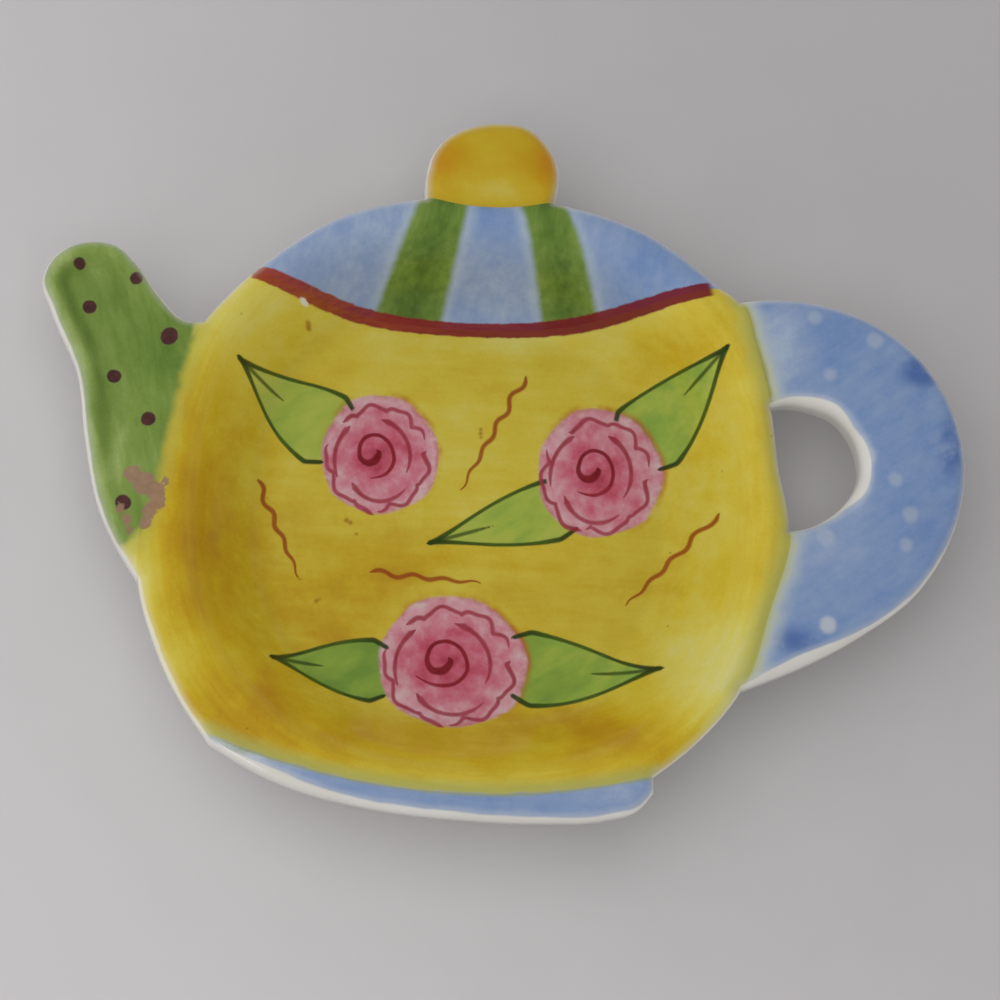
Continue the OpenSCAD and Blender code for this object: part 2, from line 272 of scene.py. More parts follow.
@dataclass
class Plan:
    """The teapot's outline from above.

    The outline's points are shares of the belly's half width and half depth, and of
    how far spout, handle, hole and knob stand out. Neighbouring pieces share the
    lines that they meet along, so they meet point to point.
    """

    belly_half_w: float = 47.0
    belly_half_d: float = 46.0
    lid_seam_sag: float = 4.4
    foot_seam_sag: float = 5.2
    knob_seam_sag: float = 1.4
    spout_reach: float = 24.0
    handle_reach: float = 33.4
    hole_reach: float = 11.9
    knob_reach: float = 12.1
    step: float = 0.5
    strip_step: float = 0.4
    right_side_shares: tuple[Shares, ...] = (
        ((0.607, -0.825), (0.720, -0.721)),
        ((0.861, -0.530), (0.928, -0.285)),
        ((0.983, -0.010), (0.938, 0.195)),
        ((0.905, 0.385), (0.845, 0.585)),
        ((0.788, 0.723), (0.728, 0.759)))
    left_side_shares: tuple[Shares, ...] = (
        ((-0.738, 0.656), (-0.786, 0.598)),
        ((-0.867, 0.485), (-0.944, 0.279), (-0.990, 0.029), (-1.000, -0.188)),
        ((-0.990, -0.361), (-0.935, -0.522), (-0.854, -0.678), (-0.756, -0.808)))
    lid_arc_shares: tuple[Shares, ...] = (
        ((0.728, 0.759), (0.465, 0.925)),
        ((0.184, 0.988), (-0.020, 1.000)),
        ((-0.222, 0.961), (-0.467, 0.878), (-0.738, 0.656)))
    foot_edge_shares: Shares = (
        (-0.735, -0.836), (-0.520, -0.936), (-0.276, -0.986), (0.001, -1.001), (0.278, -0.992),
        (0.473, -0.966), (0.567, -0.930), (0.610, -0.873))
    spout_shares: Shares = (
        (0.985, 0.10), (1.050, 0.29), (1.150, 0.475), (1.200, 0.62), (1.180, 0.83), (1.100, 0.97),
        (1.014, 1.00), (0.895, 0.89), (0.700, 0.657), (0.470, 0.514), (0.230, 0.33))
    handle_shares: Shares = (
        (1.010, 0.20), (0.990, 0.45), (0.910, 0.73), (0.730, 0.953), (0.580, 1.000),
        (0.450, 0.963), (0.260, 0.78), (0.140, 0.51), (0.040, 0.175))
    hole_shares: Shares = (
        (1.010, 0.16), (0.970, 0.46), (0.860, 0.78), (0.600, 0.99), (0.370, 0.97), (0.180, 0.76),
        (0.050, 0.44), (0.000, 0.15))
    knob_shares: Shares = (
        (1.032, 0.237), (1.022, 0.496), (0.938, 0.746), (0.780, 0.954), (0.583, 1.000),
        (0.392, 0.955), (0.198, 0.826), (0.056, 0.576), (0.006, 0.274))
    knob_middle_share: Place = (0.5, 0.45)
    spout_middle_share: Place = (0.78, 0.46)
    handle_w: float = 20.0
    handle_lip_r: float = 2.2
    lines: dict[str, Array] = field(default_factory=dict)
    handle_rows: Array = field(init=False)
    middle: Array = field(init=False)

    def __post_init__(self) -> None:
        """Draws every line of the plan, about the middle of the belly."""
        right, left, arc = (self._stretches(shares) for shares in (
            self.right_side_shares, self.left_side_shares, self.lid_arc_shares))
        self._belly_lines(right, left, arc)
        self._band_lines(left[-1][-1], right[0][0])
        self._standing_lines()
        free = np.vstack(self.free_edges())
        self.middle = (free.min(0) + free.max(0)) / 2

    def _on_belly(self, shares: Shares) -> Array:
        """Turns shares of the belly's half width and half depth into places."""
        return np.array(shares) * [self.belly_half_w, self.belly_half_d]

    def _stretches(self, lists: tuple[Shares, ...]) -> list[Array]:
        """Draws one smooth line through all points and cuts it at each list's first.

        Args:
            lists: The shares of each stretch.

        Returns:
            The stretches, of which the last runs to the very last point.
        """
        points = self._on_belly(tuple(share for shares in lists for share in shares))
        line = smooth_line(points)
        starts = CURVE_STEPS * np.cumsum([0] + [len(shares) for shares in lists[:-1]])
        ends = [*starts[1:], CURVE_STEPS * (len(points) - 1)]
        return [line[start:end + 1] for start, end in zip(starts, ends)]

    def strip_rows(self, width: float, lip: float) -> Array:
        """Shares across a strip, close together where its two lips turn over.

        Args:
            width: The strip's usual width.
            lip: Radius of its lips.

        Returns:
            Shares from 0 to 1: a cosine of equal turns at each lip and equal steps between.
        """
        turn = lip / width * (1 - np.cos(np.linspace(0, np.pi / 2, LIP_TURNS)))
        level = np.linspace(turn[-1], 1 - turn[-1], round((width - 2 * lip) / self.strip_step))
        return np.concatenate([turn[:-1], level, 1 - turn[-2::-1]])

    def _belly_lines(self, right: list[Array], left: list[Array], arc: list[Array]) -> None:
        """Divides the stretches between handle, hole, spout and knob, and draws the seams.

        Args:
            right: Stretches up the right side.
            left: Stretches down the left side.
            arc: Stretches of the lid's arc, from right to left.
        """
        self.handle_rows = self.strip_rows(self.handle_w, self.handle_lip_r)
        lines = self.lines
        for name, line in (
                ("right_flank", right[0]), ("hole_side", right[2]), ("right_shoulder", right[4]),
                ("left_shoulder", left[0]), ("spout_root", left[1]), ("left_flank", left[2]),
                ("lid_arc_right", arc[0]), ("lid_arc_left", arc[2]),
                ("knob_root", bowed(arc[2][0], arc[0][-1], self.knob_seam_sag)[::-1]),
                ("lid_seam", bowed(left[0][0], right[4][-1], self.lid_seam_sag))):
            lines[name] = evenly(line, self.step)
        lines["handle_root_low"] = at_shares(right[1][::-1], self.handle_rows)[::-1]
        lines["handle_root_high"] = at_shares(right[3], self.handle_rows)

    def _band_lines(self, start: Array, end: Array) -> None:
        """Draws the foot band's seam and edge with as many steps each.

        Args:
            start: The seam's left end.
            end: Its right end.
        """
        seam = bowed(start, end, self.foot_seam_sag)
        edge = smooth_line(self._on_belly(self.foot_edge_shares))
        count = round(running(seam)[-1] / self.step)
        self.lines["foot_seam"] = at_shares(seam, np.linspace(0, 1, count + 1))
        self.lines["foot_edge"] = at_shares(edge, np.linspace(0, 1, count + 1))

    def _standing_lines(self) -> None:
        """Draws the outlines of spout, knob, handle and finger hole."""
        lines = self.lines
        for name, root, reach, shares in (
                ("spout_edge", lines["spout_root"], self.spout_reach, self.spout_shares),
                ("knob_edge", lines["knob_root"], self.knob_reach, self.knob_shares)):
            out = standing_out(root[-1], root[0], reach, 1, np.array(shares))
            lines[name] = evenly(smooth_line(np.vstack([root[:1], out, root[-1:]])), self.step)
        inner, outer = lines["hole_side"], (lines["handle_root_low"][0], lines["handle_root_high"][-1])
        handle = np.vstack([outer[1][None], standing_out(
            outer[0], outer[1], self.handle_reach, -1, np.array(self.handle_shares)), outer[0][None]])
        hole = np.vstack([inner[-1:], standing_out(
            inner[0], inner[-1], self.hole_reach, -1, np.array(self.hole_shares)), inner[:1]])
        count = round(running(smooth_line(handle))[-1] / self.strip_step)
        lines["handle_edge"] = at_shares(smooth_line(handle), np.linspace(0, 1, count + 1))
        lines["hole_edge"] = at_shares(smooth_line(hole), np.linspace(0, 1, count + 1))

    def free_edges(self) -> list[Array]:
        """Lists every line of the outline that meets no other piece.

        Returns:
            The lines.
        """
        lines = self.lines
        alone = ("right_flank", "hole_side", "right_shoulder", "left_shoulder", "left_flank",
                 "lid_arc_right", "lid_arc_left", "spout_edge", "knob_edge", "handle_edge", "hole_edge")
        foot = np.vstack([lines["left_flank"][-1:], lines["foot_edge"], lines["right_flank"][:1]])
        return [lines[name] for name in alone] + [foot]

    def middle_of(self, root: str, reach: float, share: Place) -> Array:
        """Gives the point that the rings of a standing piece close in on."""
        line = self.lines[root]
        return standing_out(line[-1], line[0], reach, 1, np.array([share]))[0]


@dataclass
class Section:
    """Heights of the dish's upper and lower side at any place of the plan."""

    plan: Plan
    well_squareness: float = 2.4
    rim_h: float = 18.2
    rim_t: float = 6.0
    floor_t: float = 3.6
    foot_h: float = 2.0
    crest_w: float = 3.4
    wall_run: float = 15.0
    under_run: float = 17.0
    lip_r: float = 2.2
    heel_r: float = 1.2
    crease_depth: float = 0.30
    crease_w: float = 0.7
    crease_lines: tuple[str, ...] = ("handle_root_low", "handle_root_high", "knob_root")

    def inset(self, points: Array) -> Array:
        """How far a place lies inside the rim of the well, a superellipse.

        Args:
            points: Places in plan.

        Returns:
            The distance, 0 on the superellipse.
        """
        n = self.well_squareness
        half_w, half_d = self.plan.belly_half_w, self.plan.belly_half_d
        share = ((np.abs(points[:, 0]) / half_w) ** n + (np.abs(points[:, 1]) / half_d) ** n) ** (1 / n)
        return half_w * (1 - share)

    def to_edge(self, points: Array) -> Array:
        """Distance to the outline near the rim, and twice the lip's radius further in.

        Args:
            points: Places in plan.

        Returns:
            The distances.
        """
        gap = np.full(len(points), 2 * self.lip_r)
        near = self.inset(points) <= self.crest_w + 2 * self.lip_r
        gap[near] = least_gap(points[near], self.plan.free_edges())
        return gap

    @staticmethod
    def rounding(gap: Array, radius: float) -> Array:
        """How much a quarter round of a radius takes off at a distance from the edge."""
        inner = radius - np.minimum(gap, radius)
        return radius - np.sqrt(radius ** 2 - inner ** 2)

    def upper(self, points: Array, gap: Array) -> Array:
        """Height of the upper side: a half cosine from the rim's crest to the floor.

        Args:
            points: Places in plan.
            gap: Distance of each to the outline.

        Returns:
            The heights.
        """
        floor_h = self.foot_h + self.floor_t
        rise = (self.rim_h - floor_h) * eased((self.inset(points) - self.crest_w) / self.wall_run)
        return floor_h + rise - self.rounding(gap, self.lip_r) - self.crease(points)

    def crease(self, points: Array) -> Array:
        """Depth of the creases where handle and knob meet the pot, a bell across each."""
        away = least_gap(points, [self.plan.lines[name] for name in self.crease_lines])
        return self.crease_depth * np.exp(-(away / self.crease_w) ** 2)

    def lower(self, points: Array, gap: Array) -> Array:
        """Height of the underside: a half cosine from the heel to the flat bottom."""
        rise = (self.rim_h - self.rim_t - self.foot_h) * eased(self.inset(points) / self.under_run)
        return self.foot_h + rise + self.rounding(gap, self.heel_r)


# Brushwork


@dataclass(frozen=True)
class Stroke:
    """One pull of a brush.

    Attributes:
        line: Places along the stroke.
        half_width: Half the stroke's width at each of them.
        tone: How much paint it lays down at each of them, from 0 to 1.
    """

    line: Array
    half_width: Array
    tone: Array


def brushed(line: Array, half_width: float, tone: float, thin: Place, fade: float = 0.0,
            blob: float = 0.0) -> Stroke:
    """Gives a line the width and tone of one pull of a brush.

    The width grows as a quarter sine over the first share and dies away so over the
    last, and a blob swells it where the brush was set down.

    Args:
        line: Places along the stroke.
        half_width: Half of its full width.
        tone: Paint at its start.
        thin: Shares of its length that thin out at its start and end.
        fade: Paint lost along its length.
        blob: Share of extra width near its start.

    Returns:
        The stroke.
    """
    share = running(line) / running(line)[-1]
    grown = np.sin(np.clip(share / thin[0], 0, 1) * np.pi / 2)
    dying = np.sin(np.clip((1 - share) / thin[1], 0, 1) * np.pi / 2)
    swell = 1 + blob * np.exp(-((share - 0.1) / 0.1) ** 2)
    width = half_width * (0.3 + 0.7 * np.minimum(grown, dying)) * swell
    return Stroke(line, width, tone - fade * share)


def stroke_field(points: Array, strokes: list[Stroke]) -> Array:
    """Measures points against the nearest of several strokes.

    Args:
        points: Places in plan.
        strokes: The strokes.

    Returns:
        Three columns: the distance over the half width, with a minus sign on one
        side, the same without sign, and the stroke's tone there.
    """
    found = np.full((len(points), 3), FAR)
    beyond = np.full(len(points), FAR)
    found[:, 2] = 0
    for stroke in strokes:
        low, high = stroke.line.min(0) - STROKE_MARGIN, stroke.line.max(0) + STROKE_MARGIN
        rows = np.flatnonzero(np.all((points > low) & (points < high), axis=1))
        gap, side, share = line_gaps(points[rows], stroke.line)
        shares = running(stroke.line) / running(stroke.line)[-1]
        half = np.interp(share, shares, stroke.half_width)
        better = gap - half < beyond[rows]
        rows, gap, side, share, half = (a[better] for a in (rows, gap, side, share, half))
        beyond[rows] = gap - half
        found[rows, 0] = np.clip(side / half, -FAR, FAR)
        found[rows, 1] = np.clip(gap / half, 0, FAR)
        found[rows, 2] = np.interp(share, shares, stroke.tone)
    return found


@dataclass(frozen=True)
class Rose:
    """A cabbage rose: a pink disc, a spiral heart, arcs round it and a scalloped edge.

    Attributes:
        middle: Its place.
        reach: Half its width and half its depth.
        turn: Degrees that its brushwork is turned.
        scallops: How many lobes the outer petals have all round.
        hearts: Degrees that the spiral sweeps.
    """

    middle: Place
    reach: Place
    turn: float
    scallops: int
    hearts: float

    def at(self, degrees: Array, shares: Array) -> Array:
        """Gives places at angles and at shares of the reach.

        Args:
            degrees: Angles, before the rose's own turn.
            shares: Shares of the reach.

        Returns:
            The places.
        """
        angle = np.radians(np.asarray(degrees) + self.turn)
        round_it = np.stack([np.cos(angle), np.sin(angle)], axis=1)
        return np.array(self.middle) + round_it * np.array(self.reach) * np.asarray(shares)[:, None]

    def disc(self, points: Array) -> Array:
        """Measures points against the disc, whose edge wavers by two sines.

        Args:
            points: Places in plan.

        Returns:
            Three columns: the distance outside the edge, the share of the reach, and
            how much the edge is touched with orange, a slow sine round the disc.
        """
        away = (points - self.middle) / self.reach
        angle = np.arctan2(away[:, 1], away[:, 0]) - math.radians(self.turn)
        share = np.linalg.norm(away, axis=1)
        edge = 1 + 0.020 * np.sin(3 * angle + self.scallops) + 0.014 * np.sin(7 * angle)
        outside = (share - edge) * sum(self.reach) / 2
        return np.stack([outside, share, 0.5 + 0.5 * np.sin(angle + 0.6)], axis=1)

    def heart(self) -> Stroke:
        """Draws the heart: a blob, then an uneven spiral that runs out below.

        Returns:
            The stroke.
        """
        q = np.linspace(0, 1, 15)
        angle = np.radians(20 - self.hearts * q)
        grown = 0.06 + 0.28 * q ** 0.6 + 0.13 * q ** 4 + 0.03 * np.sin(2.3 * angle)
        round_it = np.stack([np.cos(angle), np.sin(angle)], axis=1)
        spiral = round_it * grown[:, None] * (1.08, 0.92) + np.array([-0.13, 0.05])
        cos, sin = math.cos(math.radians(self.turn)), math.sin(math.radians(self.turn))
        turned = spiral @ np.array([[cos, sin], [-sin, cos]])
        line = smooth_line(np.array(self.middle) + turned * np.array(self.reach), 10)
        return brushed(line, 0.29, 1.0, (0.02, 0.22), 0.35, 1.0)

    def petals(self) -> list[Stroke]:
        """Draws the arcs round the heart and the scalloped outer petals.

        Returns:
            The strokes.
        """
        q = np.linspace(0, 1, 12)
        drawn = []
        for start, end, share, grown, swing, tone in (
                (86, -34, 0.60, -0.06, -0.05, 0.62), (224, 306, 0.68, 0.04, 0.09, 0.54),
                (136, 206, 0.70, 0.12, 0.00, 0.60)):
            shares = share + grown * q + swing * np.sin(np.pi * q)
            line = self.at(start + (end - start) * q, shares)
            drawn.append(brushed(line, 0.31, tone, (0.10, 0.30), 0.12, 0.5))
        q = np.linspace(0, 1, 90)
        for start, end, share, grown in (
                (138, 18, 0.80, -0.02), (4, -94, 0.78, 0.14), (262, 168, 0.95, -0.08)):
            angles = start + (end - start) * q
            lobes = np.abs(np.sin(np.radians(angles) * self.scallops / 2)) ** 0.7
            ripple = 0.020 * np.sin(np.radians(angles) * self.scallops * 1.7)
            shares = share + grown * q + 0.11 * (lobes - 0.5) + ripple
            drawn.append(brushed(self.at(angles, shares), 0.29, 0.54, (0.05, 0.12), 0.10, 0.3))
        return drawn


@dataclass(frozen=True)
class Leaf:
    """A pointed leaf: a green wash, an outline along each side and a short midrib.

    Attributes:
        base: Middle of its root, at the rose.
        tip: Its point.
        half_widths: Greatest half width on its left and right, seen from the base.
        bend: How far its middle line bows to its left.
        paint: How much thicker its green is than usual.
    """

    base: Place
    tip: Place
    half_widths: Place
    bend: float
    paint: float

    def _axes(self) -> tuple[float, Array, Array]:
        """Gives its length, its direction and its left.

        Returns:
            The length, and two directions of length 1.
        """
        run = np.array(self.tip) - self.base
        length = float(np.linalg.norm(run))
        ahead = run / length
        return length, ahead, np.array([-ahead[1], ahead[0]])

    @staticmethod
    def fullness(u: Array) -> Array:
        """Share of the half width at a share of the length: swells early, ends in a point."""
        inner = np.clip(u, 0, 1)
        return (1 - inner ** 2.2) ** 1.45 * (0.78 + 0.22 * np.minimum(1, inner / 0.12))

    def wash(self, points: Array) -> Array:
        """Measures points against the leaf.

        Args:
            points: Places in plan.

        Returns:
            Three columns: the distance outside its edge, the share along it and how
            thick its green is.
        """
        length, ahead, left = self._axes()
        away = points - self.base
        u = away @ ahead / length
        v = away @ left - self.bend * 4 * u * (1 - u)
        half = np.where(v > 0, *self.half_widths) * self.fullness(u)
        outside = np.maximum(np.abs(v) - half, np.maximum((u - 1) * length, (-0.2 - u) * length))
        return np.stack([outside, u, np.full(len(points), self.paint)], axis=1)

    def side(self, which: int, shares: Array) -> Array:
        """Places points along one side or the middle line.

        Args:
            which: 0 for the left, 1 for the right, 2 for the middle line.
            shares: Shares of the length.

        Returns:
            The places.
        """
        length, ahead, left = self._axes()
        half = (self.half_widths[0], -self.half_widths[1], 0.0)[which]
        v = half * self.fullness(shares) + self.bend * 4 * shares * (1 - shares)
        return np.array(self.base) + shares[:, None] * length * ahead + v[:, None] * left

    def outline(self, which: int) -> Stroke:
        """Draws one side from the root to the tip.

        Args:
            which: 0 for the left, 1 for the right.

        Returns:
            The stroke.
        """
        q = np.linspace(0, 1, 60)
        line = self.side(which, q ** 0.9)
        share = running(line) / running(line)[-1]
        swell = (amount * np.exp(-((share - place) / 0.12) ** 2)
                 for place, amount in ((0.12, 0.12), (0.95, 0.10)))
        return Stroke(line, 0.27 + sum(swell), 1.0 - 0.35 * np.sin(np.pi * share))

    def midrib(self) -> Stroke:
        """Draws the short midrib from the tip."""
        q = np.linspace(0, 1, 60)
        return brushed(self.side(2, 0.97 - 0.42 * q), 0.28, 0.9, (0.05, 0.4))


@dataclass(frozen=True)
class Squiggle:
    """A loose wavy stroke between two places."""

    start: Place
    end: Place
    waves: float
    swing: float

    def stroke(self) -> Stroke:
        """Draws the stroke: a sine whose swing comes and goes over its length.

        Returns:
            The stroke.
        """
        q = np.linspace(0, 1, 120)
        run = np.array(self.end) - self.start
        across = np.array([-run[1], run[0]]) / np.linalg.norm(run)
        wave = self.swing * np.sin(2 * np.pi * self.waves * q ** 1.1) * (0.7 + 0.3 * np.cos(4 * q))
        line = np.array(self.start) + q[:, None] * run + wave[:, None] * across
        return brushed(line, 0.34, 0.8, (0.06, 0.45), 0.2)


def blotted(points: Array, base: float, blots: tuple[Blot, ...]) -> Array:
    """Adds soft round patches to an even wash, a bell round the middle of each.

    Args:
        points: Places in plan.
        base: Density of the even wash.
        blots: The patches.

    Returns:
        The density at each place.
    """
    total = np.zeros(len(points))
    for x, y, reach_x, reach_y, amount in blots:
        away = (points - (x, y)) / (reach_x, reach_y)
        total += amount * np.exp(-(away ** 2).sum(1))
    return base + total


def nearest_of(found: list[Array]) -> Array:
    """Takes, for each point, the columns of the motif whose edge is nearest.

    Args:
        found: Each motif's columns, the distance outside it first.

    Returns:
        Three columns, the distance cut off at FAR.
    """
    columns = np.stack(found)
    nearest = columns[:, :, 0].argmin(0)
    best = columns[nearest, np.arange(columns.shape[1])]
    best[:, 0] = np.clip(best[:, 0], -FAR, FAR)
    return best


def disc_gap(points: Array, discs: tuple[Mark, ...]) -> Array:
    """Distance outside the nearest of several discs."""
    gaps = [np.linalg.norm(points - (x, y), axis=1) - radius for x, y, radius in discs]
    return np.clip(np.min(gaps, axis=0), -FAR, FAR)


@dataclass(frozen=True)
class Brushwork:
    """Every motif of the rest, at its place in plan."""

    roses: tuple[Rose, ...] = (
        Rose((-17.1, 2.2), (8.6, 8.9), 6.0, 9, 475.0),
        Rose((15.6, 2.6), (9.25, 9.7), -6.0, 8, 490.0),
        Rose((-4.1, -27.8), (10.75, 9.7), 4.0, 9, 520.0))
    leaves: tuple[Leaf, ...] = (
        Leaf((-23.5, 4.5), (-38.9, 12.4), (6.1, 5.6), 0.0, -0.18),
        Leaf((20.9, 7.1), (31.6, 20.4), (5.7, 6.2), 0.0, 0.0),
        Leaf((11.4, -2.8), (-8.7, -10.3), (4.6, 4.6), 0.0, -0.14),
        Leaf((-13.8, -30.0), (-30.2, -29.9), (4.6, 4.6), 0.0, 0.32),
        Leaf((4.8, -27.4), (25.7, -26.6), (5.4, 5.6), -0.6, 0.10))
    squiggles: tuple[Squiggle, ...] = (
        Squiggle((3.6, 16.4), (-4.8, -1.9), 4.5, 0.55),
        Squiggle((-34.8, -3.4), (-27.2, -17.5), 4.0, 0.50),
        Squiggle((-17.1, -15.5), (-0.9, -15.6), 3.5, 0.45),
        Squiggle((32.7, -3.3), (20.8, -17.0), 4.0, 0.50))
    spots: tuple[Mark, ...] = (
        (-63.0, 23.5, 0.80), (-54.7, 21.9, 0.92), (-61.0, 17.4, 1.00), (-49.2, 13.7, 1.25),
        (-56.5, 7.5, 0.98), (-51.0, 1.2, 1.02), (-53.3, -11.2, 1.12))
    pale_dots: tuple[Mark, ...] = (
        (53.4, 23.5, 1.3), (44.3, 26.0, 1.1), (47.0, 17.5, 1.0), (53.4, 6.1, 1.2), (57.3, 2.7, 1.1),
        (59.7, -2.3, 1.2), (59.2, -6.8, 1.0), (47.4, -6.7, 1.3), (48.4, -19.6, 1.25))
    worn: tuple[Mark, ...] = (
        (-52.3, -7.0, 1.3), (-50.6, -8.2, 1.7), (-49.0, -9.0, 1.5), (-48.4, -10.6, 1.2),
        (-49.6, -12.3, 1.1), (-49.8, -13.9, 0.7), (-47.6, -7.7, 0.6), (-53.6, -11.8, 0.7),
        (-52.6, -13.6, 0.7), (-52.0, -15.2, 0.55))
    green_border: tuple[Place, ...] = (
        (-43.4, 27.0), (-45.6, 16.8), (-47.0, 8.6), (-48.0, 2.5), (-48.7, -3.4), (-49.9, -11.3),
        (-50.9, -15.3), (-52.5, -17.0), (-56.0, -19.5), (-61.0, -22.0))
    green_blots: tuple[Blot, ...] = (
        (-58.5, 12.0, 5, 8, -0.05), (-50.0, 12.0, 4, 5, 0.12), (-61.0, 25.0, 7, 5, -0.12),
        (-58.6, -2.0, 1.2, 9.0, 0.08), (-55.2, -4.0, 1.6, 5.0, -0.26),
        (-52.0, -6.0, 3, 4, -0.10), (-56.0, 1.0, 5, 8, -0.08))
    chips: tuple[Mark, ...] = ((-30.6, 22.3, 0.42), (-30.1, 22.1, 0.36))
    drops: tuple[Mark, ...] = (
        (-29.4, 19.9, 0.40), (-29.3, 19.4, 0.42), (-2.5, 7.5, 0.22), (-2.5, 6.9, 0.26),
        (-2.4, 6.3, 0.18), (-24.6, -20.5, 0.28), (-24.2, -20.2, 0.20), (-19.6, -10.0, 0.22),
        (-21.2, -8.1, 0.34), (-20.6, -8.4, 0.30))

    def green_at(self, points: Array) -> Array:
        """Density of the spout's green, also where it runs over on to the belly."""
        return blotted(points, 0.58, self.green_blots)

    def roses_at(self, points: Array) -> Array:
        """Gives the columns of the nearest rose's disc."""
        return nearest_of([rose.disc(points) for rose in self.roses])

    def leaves_at(self, points: Array) -> Array:
        """Gives the columns of the nearest leaf's wash."""
        return nearest_of([leaf.wash(points) for leaf in self.leaves])


# Finishes


def linear(colour: str) -> tuple[float, float, float, float]:
    """Turns an sRGB hex value into the linear colour that a shader takes.

    Args:
        colour: The value, a hash and six digits.

    Returns:
        Red, green, blue and a full alpha.
    """
    parts = [int(colour[i:i + 2], 16) / 255 for i in (1, 3, 5)]
    red, green, blue = (c / 12.92 if c <= 0.04045 else ((c + 0.055) / 1.055) ** 2.4 for c in parts)
    return red, green, blue, 1.0


def add(tree: bpy.types.NodeTree, kind: str, sockets: dict | None = None, stops: Stops = (),
        **settings: object) -> bpy.types.Node:
    """Adds one node to a tree.

    Args:
        tree: The material's tree.
        kind: Blender's name of the node.
        sockets: For an input's name or number, the output that feeds it or its value.
        stops: Places and hex colours, for a colour ramp.
        **settings: The node's own settings.

    Returns:
        The node.
    """
    node = tree.nodes.new(kind)
    for name, value in settings.items():
        setattr(node, name, value)
    for key, value in (sockets or {}).items():
        if isinstance(value, bpy.types.NodeSocket):
            tree.links.new(value, node.inputs[key])
        else:
            node.inputs[key].default_value = value
    for i, (place, colour) in enumerate(stops):
        known = node.color_ramp.elements
        stop = known[i] if i < len(known) and i < 2 else known.new(place)
        stop.position, stop.color = place, linear(colour)
    return node


